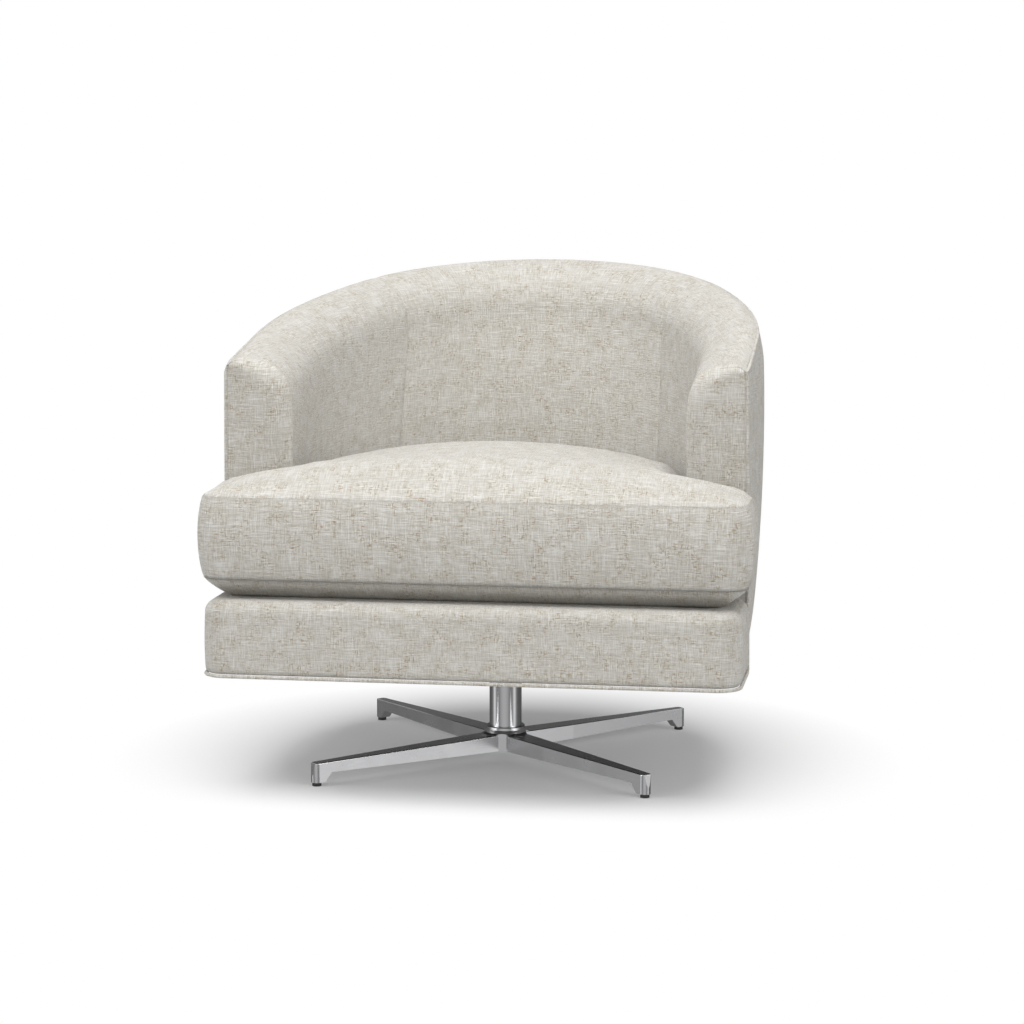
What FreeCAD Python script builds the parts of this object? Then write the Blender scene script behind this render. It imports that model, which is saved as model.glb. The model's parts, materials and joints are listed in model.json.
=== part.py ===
"""Swivel lounge chair: a barrel body on a four-arm metal base, with a loose T-shaped seat cushion.

Millimetres, +Z up, the front of the chair faces -Y. The origin is on the floor on the swivel axis.
"""
import FreeCAD
import Part
import math
import os

os.makedirs("parts", exist_ok=True)

Vec = FreeCAD.Vector
UP = Vec(0, 0, 1)

# Star base
arm_count = 4
foot_reach = 330.0
arm_end_beyond_foot = 8.0
arm_root_width = 35.2
arm_waist_reach = 114.0
arm_waist_width = 31.0
arm_tip_width = 16.4
arm_top_at_hub = 37.0
arm_top_at_tip = 33.5
arm_underside_at_hub = 13.5
arm_underside_at_tip = 18.5
arm_edge_round = 1.4
collar_bevel = 1.2
foot_underside = 5.2
foot_length = 17.0
foot_slope_run = 11.0
hub_web_reach = 30.2
hub_underside = 12.0
collar_radius = 28.5
collar_top = 48.5
collar_flare = 6.5
pocket_wall = 4.0
pocket_roof = 6.0
pocket_ribs = 2
pocket_rib_width = 3.5
pocket_start = 51.34

# Glides under the feet
glide_radius = 6.5
glide_stem_radius = 4.0
glide_stem_length = 11.0

# Column and swivel bearing
column_radius = 23.75
column_wall = 2.5
column_seat = 26.0
column_top = 168.0
column_plug_length = 20.0
press_clearance = 0.05
spindle_radius = 14.0
spindle_foot = 50.0
running_clearance = 0.06
bush_length = 20.0
bush_flange = 3.0
lower_bush_rise = 10.0
thrust_washer_radius = 23.0
thrust_washer_thickness = 3.0
bearing_clearance = 0.1
retaining_ring_thickness = 1.75
retaining_ring_radius = 18.0
ring_groove_depth = 1.2
retainer_gap = 0.3
retaining_ring_opening = 8.0
base_bolt_radius = 6.0
base_bolt_head_radius = 9.5
base_bolt_head_height = 5.0
base_bolt_flange_radius = 13.0
base_bolt_flange_thickness = 2.0
base_bolt_recess_margin = 1.5
bolt_clearance = 0.4
hub_floor_thickness = 5.0

# Swivel plate under the seat
plate_side = 180.0
plate_corner = 14.0
plate_thickness = 4.0
plate_bolt_spacing = 140.0
plate_bolt_radius = 4.0
plate_bolt_head_radius = 7.5
plate_bolt_head_height = 4.0
plate_nut_radius = 7.5
plate_nut_height = 7.0
cross_rail_width = 55.0
cross_rail_height = 38.0

# Barrel body in plan, along the top outer welt
body_half_width = 367.5
arm_front_y = -198.0
arm_front_flare_top = 1.5
arm_front_flare_bottom = 5.5
rim_back_y = 473.7
side_arc_radius = 725.0
side_arc_turn = 27.66

# Barrel body heights and wall
arm_height = 590.5
rim_slope = 0.1727
body_underside = 176.8
back_rake = 25.0
bottom_tuck = 10.0
side_bulge = 7.5
bulge_drop = 55.0
tuck_height = 85.0
cover_thickness = 13.0
rail_thickness = 22.0
liner_thickness = 3.0
arm_thickness = 87.0
crown_rise = 8.5
crown_inset = 24.0
roll_drop = 60.0
roll_bend_drop = 0.28
roll_bend_share = 0.2
roll_top_share = 0.55
crown_edge_share = 0.8
leaning_steps = 3
inner_edge_round = 25.0
back_post_depth = 40.0
back_post_angle = 40.0
side_post_y = 0.0
post_clearance = 1.0
back_seam_angle = 57.0
arm_front_padding = 12.0
front_board_thickness = 18.0
front_board_margin = 12.0
top_rail_drop = 28.0
top_rail_height = 50.0
post_width = 45.0

# Deck and front border
border_front_y = -342.0
border_corner = 34.5
border_top_round = 18.0
border_padding = 10.0
deck_top = 278.0
deck_inner_back_y = 270.0
frame_underside = 178.0
seat_board_top = 254.0
seat_board_thickness = 18.0
opening_margin = 153.5
opening_front_y = -280.0
opening_back_y = 155.0
opening_corner = 40.0
dust_cover_thickness = 0.8
dust_cover_gap = 6.0
corner_block_side = 55.0
corner_block_end_gap = 5.0

# Webbing under the deck
strap_width = 50.0
strap_thickness = 2.0
strap_overlap = 20.0
long_strap_count = 5
long_strap_spacing = 75.0
cross_strap_count = 4
pad_rest_gap = 0.3

# Welts
welt_radius = 2.6
welt_sides = 8
welt_stand = 1.0

# Loose cushion
ear_overhang = 17.0
cushion_front_y = -328.0
cushion_side_clearance = 2.5
ear_clearance = 4.0
ear_front_corner = 30.0
cushion_bottom_seam = 28.0
cushion_top_seam = 142.0
cushion_crown = 190.0
cushion_back_follow = 0.8
cushion_bottom_tuck = 42.0
cushion_bottom_seam_inset = 8.0
cushion_top_seam_inset = 9.0
crown_shoulder_inset = 44.0
crown_shoulder_share = 0.5
crown_centre_y = -20.0
crown_top_scale = 0.45
crown_steps = 3
cushion_core_inset = 46.0
cushion_core_rise = 9.0
cushion_core_height = 142.0

# Values worked out from the sizes above
tilt = math.degrees(math.atan(rim_slope))
arm_front_half_top = body_half_width + arm_front_flare_top
arm_front_half_bottom = body_half_width + arm_front_flare_bottom
cushion_half_width = arm_front_half_top + ear_overhang
opening_half_width = body_half_width - opening_margin
back_arc_radius = (body_half_width - side_arc_radius * (1 - math.cos(math.radians(side_arc_turn)))) \
    / math.cos(math.radians(side_arc_turn))
seam_centre_y = rim_back_y - back_arc_radius
rim_depth = rim_back_y - arm_front_y
rim_back_height = arm_height + rim_slope * rim_depth
inner_lean = (rim_back_y - arm_thickness - deck_inner_back_y) / (rim_back_height - roll_drop - deck_top)
arm_reach = foot_reach + arm_end_beyond_foot
column_inner_radius = column_radius - column_wall
flange_top = column_top + bush_flange
washer_bottom = flange_top + bearing_clearance
plate_bottom = washer_bottom + thrust_washer_thickness
plate_top = plate_bottom + plate_thickness
lower_bush_bottom = spindle_foot + lower_bush_rise
rail_top = seat_board_top - seat_board_thickness
liner_inset = cover_thickness + rail_thickness
pad_inset = liner_inset + liner_thickness
arm_pad_back_y = arm_front_y + arm_front_padding
front_board_back_y = arm_pad_back_y + front_board_thickness
webbing_top = seat_board_top + 2 * strap_thickness
deck_pad_bottom = webbing_top + pad_rest_gap
far = 900.0


def save(name, shape):
    shape.exportStep("parts/" + name + ".step")


def group(shapes):
    return Part.makeCompound(shapes)


def cylinder(radius, low, high, x=0.0, y=0.0):
    return Part.makeCylinder(radius, high - low, Vec(x, y, low))


def ring(outer, inner, low, high, x=0.0, y=0.0):
    return cylinder(outer, low, high, x, y).cut(cylinder(inner, low - 1, high + 1, x, y))


def block(x0, x1, y0, y1, z0, z1):
    return Part.makeBox(x1 - x0, y1 - y0, z1 - z0, Vec(x0, y0, z0))


def polygon(points):
    return Part.makePolygon(points + [points[0]])


def turned(shape, angle):
    copy = shape.copy()
    copy.rotate(Vec(0, 0, 0), UP, angle)
    return copy


def mirrored(shape):
    return shape.mirror(Vec(0, 0, 0), Vec(1, 0, 0))


def arc(start, middle, end):
    return Part.Arc(start, middle, end).toShape()


def line(start, end):
    return Part.LineSegment(start, end).toShape()


def prism(points, height):
    return Part.Face(polygon(points)).extrude(Vec(0, 0, height))


def hexagon(radius, x, y, low, height):
    angles = [math.radians(60 * n) for n in range(6)]
    return prism([Vec(x + radius * math.cos(a), y + radius * math.sin(a), low) for a in angles], height)


def welt_tube(path):
    first = path.Edges[0]
    start = first.valueAt(first.FirstParameter)
    direction = first.tangentAt(first.FirstParameter)
    across = direction.cross(UP)
    across.normalize()
    upward = across.cross(direction)
    upward.normalize()
    points = []
    for n in range(welt_sides):
        angle = 2 * math.pi * (n + 0.5) / welt_sides
        outward = across * math.cos(angle) + upward * math.sin(angle)
        points.append(start + outward * welt_radius)
    return path.makePipeShell([polygon(points)], True, False)


# Star base: one arm is its side view and its plan view, each drawn once and intersected.
def arm_plan(inset, start, end, rounded):
    root = arm_root_width / 2 - inset
    waist = arm_waist_width / 2 - inset
    tip = arm_tip_width / 2 - inset
    side = [Vec(start, root, 0), Vec(arm_waist_reach, waist, 0), Vec(end, tip, 0)]
    edges = [line(side[0], side[1]), line(side[1], side[2])]
    if rounded:
        edges.append(arc(Vec(end, tip, 0), Vec(end + tip, 0, 0), Vec(end, -tip, 0)))
    else:
        edges.append(line(Vec(end, tip, 0), Vec(end, -tip, 0)))
    side = [Vec(p.x, -p.y, 0) for p in side]
    edges += [line(side[2], side[1]), line(side[1], side[0])]
    edges.append(line(Vec(start, -root, 0), Vec(start, root, 0)))
    return Part.Face(Part.Wire(edges)).extrude(Vec(0, 0, 2 * arm_top_at_hub))


def arm_profile(points, half_width):
    outline = polygon([Vec(r, -half_width, z) for r, z in points])
    return Part.Face(outline).extrude(Vec(0, 2 * half_width, 0))


def star_arm():
    foot_inner = arm_reach - foot_length
    side = arm_profile([
        (0, arm_top_at_hub),
        (hub_web_reach, arm_top_at_hub),
        (arm_reach - 2, arm_top_at_tip),
        (arm_reach + 1, foot_underside),
        (foot_inner, foot_underside),
        (foot_inner - foot_slope_run, arm_underside_at_tip),
        (hub_web_reach, arm_underside_at_hub),
        (0, arm_underside_at_hub),
    ], arm_root_width)
    arm = side.common(arm_plan(0, 0, arm_reach - arm_tip_width / 2, True))
    rounded = []
    for edge in arm.Edges:
        box = edge.BoundBox
        above = box.ZMin > arm_top_at_tip - 2
        outside = box.XMax > hub_web_reach
        if above and outside and edge.Length > 5:
            rounded.append(edge)
    arm = arm.makeFillet(arm_edge_round, rounded)
    pocket_end = foot_inner - foot_slope_run
    bay = (pocket_end - pocket_start + pocket_rib_width) / (pocket_ribs + 1)
    plan = arm_plan(pocket_wall, 0, pocket_end, False)
    drop = (arm_top_at_hub - arm_top_at_tip) / (arm_reach - hub_web_reach)
    for n in range(pocket_ribs + 1):
        near = pocket_start + n * bay
        end = near + bay - pocket_rib_width
        roof = arm_profile([
            (near, 0),
            (end, 0),
            (end, arm_top_at_hub - pocket_roof - drop * end),
            (near, arm_top_at_hub - pocket_roof - drop * near),
        ], arm_root_width)
        arm = arm.cut(roof.common(plan))
    return arm


def star_base():
    arm = star_arm()
    arms = [turned(arm, 45 + n * 360 / arm_count) for n in range(arm_count)]
    reach = hub_web_reach
    web = block(-reach, reach, -reach, reach, hub_underside, arm_top_at_hub)
    plan = arm_plan(0, 0, arm_waist_reach, False)
    cross = web.copy()
    cross.translate(Vec(0, 0, arm_top_at_hub - hub_underside))
    cross = cross.multiFuse([turned(plan, 45 + n * 360 / arm_count) for n in range(arm_count)])
    outline = polygon([
        Vec(0, 0, arm_top_at_hub),
        Vec(collar_radius + collar_flare, 0, arm_top_at_hub),
        Vec(collar_radius + 0.3 * collar_flare, 0, arm_top_at_hub + 0.3 * collar_flare),
        Vec(collar_radius, 0, arm_top_at_hub + collar_flare),
        Vec(collar_radius, 0, collar_top - collar_bevel),
        Vec(collar_radius - collar_bevel, 0, collar_top),
        Vec(0, 0, collar_top),
    ])
    collar = Part.Face(outline).revolve(Vec(0, 0, 0), UP, 360).common(cross)
    star = web.multiFuse(arms + [collar]).removeSplitter()
    socket = cylinder(column_radius + press_clearance, column_seat, collar_top + 1)
    recess_radius = base_bolt_flange_radius + base_bolt_recess_margin
    recess = cylinder(recess_radius, 0, column_seat - hub_floor_thickness)
    hole = cylinder(base_bolt_radius + bolt_clearance, 0, column_seat + 1)
    star = star.cut(socket).cut(recess).cut(hole)
    for x, y in foot_places():
        star = star.cut(cylinder(glide_stem_radius, 0, foot_underside + glide_stem_length, x, y))
    return star


def foot_places():
    places = []
    for n in range(arm_count):
        angle = math.radians(45 + n * 360 / arm_count)
        places.append((foot_reach * math.cos(angle), foot_reach * math.sin(angle)))
    return places


def glides():
    made = []
    for x, y in foot_places():
        pad = cylinder(glide_radius, 0, foot_underside, x, y)
        stem_top = foot_underside + glide_stem_length - 0.5
        stem = cylinder(glide_stem_radius - press_clearance, 0, stem_top, x, y)
        made.append(pad.fuse(stem).removeSplitter())
    return group(made)


# Column: a polished tube with a welded plug, pressed into the hub and held by one bolt from below.
def column_parts():
    tube_wall = ring(column_radius, column_inner_radius, column_seat, column_top)
    plug_radius = column_radius - 0.5 * column_wall
    plug = ring(plug_radius, base_bolt_radius, column_seat, column_seat + column_plug_length)
    save("column_tube", tube_wall.fuse(plug).removeSplitter())
    flange_high = column_seat - hub_floor_thickness
    flange_low = flange_high - base_bolt_flange_thickness
    head = hexagon(base_bolt_head_radius, 0, 0, flange_low - base_bolt_head_height, base_bolt_head_height)
    flange = cylinder(base_bolt_flange_radius, flange_low, flange_high)
    shank = cylinder(base_bolt_radius - press_clearance, flange_low, column_seat + column_plug_length - 2)
    save("base_bolt", head.fuse(flange).fuse(shank).removeSplitter())


# Bearing: two plain bushes guide the spindle, and a washer under the plate carries the seat.
def bearing_parts():
    bush_outer = column_inner_radius - press_clearance
    bush_inner = spindle_radius + running_clearance
    lower = ring(bush_outer, bush_inner, lower_bush_bottom, lower_bush_bottom + bush_length)
    upper = ring(bush_outer, bush_inner, column_top - bush_length, column_top)
    flange = ring(column_radius, bush_inner, column_top, flange_top)
    save("spindle_bushes", group([lower, upper.fuse(flange).removeSplitter()]))
    save("thrust_washer", ring(thrust_washer_radius, spindle_radius, washer_bottom, plate_bottom))


# Spindle: turns with the seat, held down by a ring in a groove under the lower bush.
def spindle_parts():
    ring_top = lower_bush_bottom - retainer_gap
    ring_bottom = ring_top - retaining_ring_thickness
    groove_radius = spindle_radius - ring_groove_depth
    spindle = cylinder(spindle_radius, spindle_foot, plate_top)
    save("swivel_spindle", spindle.cut(ring(spindle_radius + 1, groove_radius, ring_bottom, ring_top)))
    clip = ring(retaining_ring_radius, groove_radius, ring_bottom, ring_top)
    half = retaining_ring_opening / 2
    gap = block(0, retaining_ring_radius + 1, -half, half, ring_bottom - 1, ring_top + 1)
    save("retaining_ring", clip.cut(gap))


def plate_bolt_places():
    half = plate_bolt_spacing / 2
    return [(x, y) for x in (-half, half) for y in (-half, half)]


def plate_parts():
    half = plate_side / 2
    plate = block(-half, half, -half, half, plate_bottom, plate_top)
    corners = [edge for edge in plate.Edges if abs(edge.BoundBox.ZLength - plate_thickness) < 0.01]
    plate = plate.makeFillet(plate_corner, corners)
    plate = plate.cut(cylinder(spindle_radius, plate_bottom - 1, plate_top + 1))
    bolts = []
    nuts = []
    head_low = plate_bottom - plate_bolt_head_height
    rail_high = plate_top + cross_rail_height
    nut_high = rail_high + plate_nut_height
    for x, y in plate_bolt_places():
        plate = plate.cut(cylinder(plate_bolt_radius + 0.5, plate_bottom - 1, plate_top + 1, x, y))
        head = hexagon(plate_bolt_head_radius, x, y, head_low, plate_bolt_head_height)
        shank = cylinder(plate_bolt_radius, plate_bottom, nut_high, x, y)
        bolts.append(head.fuse(shank).removeSplitter())
        nut = hexagon(plate_nut_radius, x, y, rail_high, plate_nut_height)
        nuts.append(nut.cut(cylinder(plate_bolt_radius, rail_high - 1, nut_high + 1, x, y)))
    save("swivel_plate", plate)
    save("plate_bolts", group(bolts))
    save("plate_nuts", group(nuts))


# Barrel sections: a plan outline of lines and tangent arcs, level or in a plane parallel to the rim.
def barrel_wire(front_half, out, back, front=arm_front_y, stretch=1.0):
    turn = math.radians(side_arc_turn)
    side = body_half_width + out
    side_radius = side_arc_radius + out
    back_radius = back_arc_radius + out
    far_back = arm_front_y + (back - arm_front_y) * stretch
    centre = far_back - back_radius
    knee = Vec(back_radius * math.cos(turn), centre + back_radius * math.sin(turn), 0)
    side_y = knee.y - side_radius * math.sin(turn)
    half_turn = turn / 2
    side_x = side - side_radius * (1 - math.cos(half_turn))
    side_middle = Vec(side_x, side_y + side_radius * math.sin(half_turn), 0)
    lean = (turn + math.pi / 2) / 2
    back_middle = Vec(back_radius * math.cos(lean), centre + back_radius * math.sin(lean), 0)
    start = Vec(front_half, front, 0)
    right = [
        (start, None, Vec(side, side_y, 0)),
        (Vec(side, side_y, 0), side_middle, knee),
        (knee, back_middle, Vec(0, far_back, 0)),
    ]
    return outline_edges(right), start


# Edges of a symmetric outline, from its right half: a start, a middle for an arc, and an end each.
def outline_edges(right):
    edges = []
    for start, middle, end in right:
        edges.append(line(start, end) if middle is None else arc(start, middle, end))
    for start, middle, end in reversed(right):
        flip = [Vec(-p.x, p.y, 0) for p in (end, middle or end, start)]
        edges.append(line(flip[0], flip[2]) if middle is None else arc(flip[0], flip[1], flip[2]))
    return edges


def placed(shape, height, tilted):
    if tilted:
        shape.rotate(Vec(0, arm_front_y, 0), Vec(1, 0, 0), tilt)
        shape.translate(Vec(0, 0, arm_height + height))
    else:
        shape.translate(Vec(0, 0, height))
    return shape


def section(height, tilted, out, back, front_half=None, front=arm_front_y):
    stretch = 1 / math.cos(math.radians(tilt)) if tilted else 1.0
    half = body_half_width + out if front_half is None else front_half
    edges, start = barrel_wire(half, out, back, front, stretch)
    edges.append(line(Vec(-start.x, start.y, 0), start))
    return placed(Part.Wire(edges), height, tilted)


def loft(sections):
    return Part.makeLoft(sections, True, True)


def front_half_at(height):
    share = (arm_height - height) / (arm_height - body_underside)
    return arm_front_half_top + (arm_front_half_bottom - arm_front_half_top) * share


def raked_back(height, out):
    share = (rim_back_height - height) / (rim_back_height - body_underside)
    return rim_back_y - back_rake * share + out


def inner_back(height):
    return rim_back_y - arm_thickness - inner_lean * (rim_back_height - roll_drop - height)


# One ring of the barrel wall: the plan outline at one height and offset, level or parallel to the rim.
class Ring:
    def __init__(self, height, tilted, out, back, front_half=None):
        self.height = height
        self.tilted = tilted
        self.stretch = 1 / math.cos(math.radians(tilt)) if tilted else 1.0
        self.turn = math.radians(side_arc_turn)
        self.side = body_half_width + out
        self.side_radius = side_arc_radius + out
        self.back_radius = back_arc_radius + out
        self.centre = arm_front_y + (back - arm_front_y) * self.stretch - self.back_radius
        self.side_y = self.centre + (self.back_radius - self.side_radius) * math.sin(self.turn)
        self.half = self.side if front_half is None else front_half
        self.seam = math.radians(90 - back_seam_angle)

    def on_front(self, y):
        local = arm_front_y + (y - arm_front_y) * self.stretch
        share = (local - arm_front_y) / (self.side_y - arm_front_y)
        return Vec(self.half + (self.side - self.half) * share, local, 0)

    def on_side(self, angle):
        return Vec(self.side - self.side_radius * (1 - math.cos(angle)),
                   self.side_y + self.side_radius * math.sin(angle), 0)

    def on_back(self, angle):
        radius = self.back_radius
        return Vec(radius * math.cos(angle), self.centre + radius * math.sin(angle), 0)

    # Angle at which this ring crosses an upright plane beside the middle of the back arc.
    def back_angle(self, plane_angle, beside=0.0):
        slope = math.tan(math.radians(plane_angle)) / self.stretch
        shift = beside / math.cos(math.radians(plane_angle))
        gap = arm_front_y + (seam_centre_y - arm_front_y) * self.stretch - self.centre
        square = slope * slope + 1
        half = slope * shift + gap
        rest = shift * shift + gap * gap - self.back_radius ** 2
        along = (math.sqrt(half * half - square * rest) - half) / square
        return math.atan2(gap + along, slope * along + shift)

    def side_angle(self, y):
        local = arm_front_y + (y - arm_front_y) * self.stretch
        return math.asin((local - self.side_y) / self.side_radius)

    def side_edge(self, low, high):
        return arc(self.on_side(low), self.on_side((low + high) / 2), self.on_side(high))

    def back_edge(self, low, high):
        return arc(self.on_back(low), self.on_back((low + high) / 2), self.on_back(high))

    def arm_edges(self, front, rear_angle):
        straight = line(self.on_front(front), self.on_side(0.0))
        sides = [self.side_edge(0.0, self.turn / 2), self.side_edge(self.turn / 2, self.turn)]
        return [straight] + sides + [self.back_edge(self.turn, rear_angle)]

    def placed(self, edges):
        return [placed(edge, self.height, self.tilted) for edge in edges]


# Pieces of the wall, as the run of edges that each ring gives them.
def front_run(start, end):
    return lambda ring: [line(ring.on_front(start), ring.on_front(end))]


def arm_run(front):
    return lambda ring: ring.arm_edges(front, ring.seam)


def back_run(ring):
    return [ring.back_edge(ring.seam, math.pi / 2), ring.back_edge(math.pi / 2, math.pi - ring.seam)]


def round_run(front):
    def edges(ring):
        right = ring.arm_edges(front, math.pi / 2)
        return right + [flipped(edge) for edge in reversed(right)]
    return edges


# The same edge on the left side, running the other way.
def flipped(edge):
    first, last = edge.FirstParameter, edge.LastParameter
    points = [edge.valueAt(place) for place in (last, (first + last) / 2, first)]
    start, middle, end = [Vec(-p.x, p.y, p.z) for p in points]
    straight = (middle - start).cross(end - start).Length < 1e-6
    return line(start, end) if straight else arc(start, middle, end)


# Face between two edges, flat where both are straight and lie in one plane.
def between(first, second):
    corners = [first.Vertexes[0].Point, first.Vertexes[-1].Point]
    corners += [second.Vertexes[-1].Point, second.Vertexes[0].Point]
    straight = all(abs(edge.Length - (edge.Vertexes[-1].Point - edge.Vertexes[0].Point).Length) < 1e-7
                   for edge in (first, second))
    across = (corners[1] - corners[0]).cross(corners[2] - corners[0])
    if straight and abs(across.dot(corners[3] - corners[0])) < 1e-5 * across.Length:
        return Part.Face(polygon(corners))
    return Part.makeRuledSurface(first, second)


# Edges at a share of the way from one row of edges to the next, point by point.
def blended(row, following, share):
    edges = []
    for first, second in zip(row, following):
        curve = first.Curve.toBSpline(first.FirstParameter, first.LastParameter)
        target = second.Curve.toBSpline(second.FirstParameter, second.LastParameter)
        for place, (near, beyond) in enumerate(zip(curve.getPoles(), target.getPoles()), 1):
            curve.setPole(place, near + (beyond - near) * share)
        edges.append(curve.toShape())
    return edges


# A closed wall along one run, from the rings of its section in order, lowest rings first and last.
# The bands beside the lowest rings are divided in steps.
def wall(rings, run, steps=1):
    lines = [ring.placed(run(ring)) for ring in rings]
    shares = [step / steps for step in range(1, steps)]
    rising = [blended(lines[0], lines[1], share) for share in shares]
    falling = [blended(lines[-2], lines[-1], share) for share in shares]
    lines = lines[:1] + rising + lines[1:-1] + falling + lines[-1:]
    faces = []
    for near, beyond in zip(lines, lines[1:] + lines[:1]):
        for first, second in zip(near, beyond):
            faces.append(between(first, second))
    for end in (0, -1):
        corners = [edges[end].Vertexes[end].Point for edges in lines]
        for step in range(steps):
            lower = line(corners[step], corners[-1 - step])
            faces.append(between(lower, line(corners[step + 1], corners[-2 - step])))
        if len(corners) > 2 * steps + 2:
            faces.append(Part.Face(polygon(corners[steps:-steps])))
    shell = Part.makeShell(faces)
    shell.sewShape()
    solid = Part.makeSolid(shell)
    if solid.Volume < 0:
        solid.reverse()
    return solid


def level_ring(height, inset):
    out = -inset
    return Ring(height, False, out, raked_back(height, out), front_half_at(height) + out)


def rim_ring(drop, inset):
    out = -inset
    return Ring(-drop, True, out, rim_back_y + out, front_half_at(arm_height - drop) + out)


# Rings of the inside of the barrel and of the liner, which lean together.
def leaning_ring(height, inset):
    return Ring(height, False, -inset, inner_back(height) + arm_thickness - inset)


def inner_rim_ring(drop, inset):
    return Ring(-drop, True, -inset, rim_back_y - inset)


# Section of the roll over the top of the arms and back, as drop and inset, from inside to outside.
def roll_section(grow=0.0):
    top = arm_thickness - crown_inset
    section_points = []
    bend = roll_bend_drop * roll_drop
    for drop, share in ((roll_drop, 0.0), (bend, roll_bend_share), (0.0, roll_top_share)):
        section_points.append((drop, arm_thickness - share * top - grow))
    rise = crown_rise + 0.5
    last = section_points[-1][1]
    crown = crown_inset - grow
    section_points.append((-crown_rise, last + (crown - last) * crown_rise / rise))
    return section_points


# Level crossing of the roll section, for the top of the boards behind the padding.
def roll_inset_at(drop, grow):
    points = roll_section(grow)
    for (drop_a, inset_a), (drop_b, inset_b) in zip(points, points[1:]):
        if drop_a >= drop >= drop_b:
            return inset_a + (inset_b - inset_a) * (drop_a - drop) / (drop_a - drop_b)
    return points[-1][1]


# What a soft upright edge takes off the inner front corner of the right arm.
def front_edge_waste():
    x = body_half_width - arm_thickness
    y = arm_front_y
    radius = inner_edge_round
    square = block(x - 1, x + radius, y - 1, y + radius, deck_top, far)
    return square.cut(cylinder(radius, 0, 2 * far, x + radius, y + radius))


# Plain level form inside the body, for the lower frame.
def nested_form(inset, low, high):
    wires = []
    for height in (low, high):
        half = front_half_at(height) - inset
        wires.append(section(height, False, -inset, raked_back(height, -inset), half))
    return loft(wires)


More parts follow.
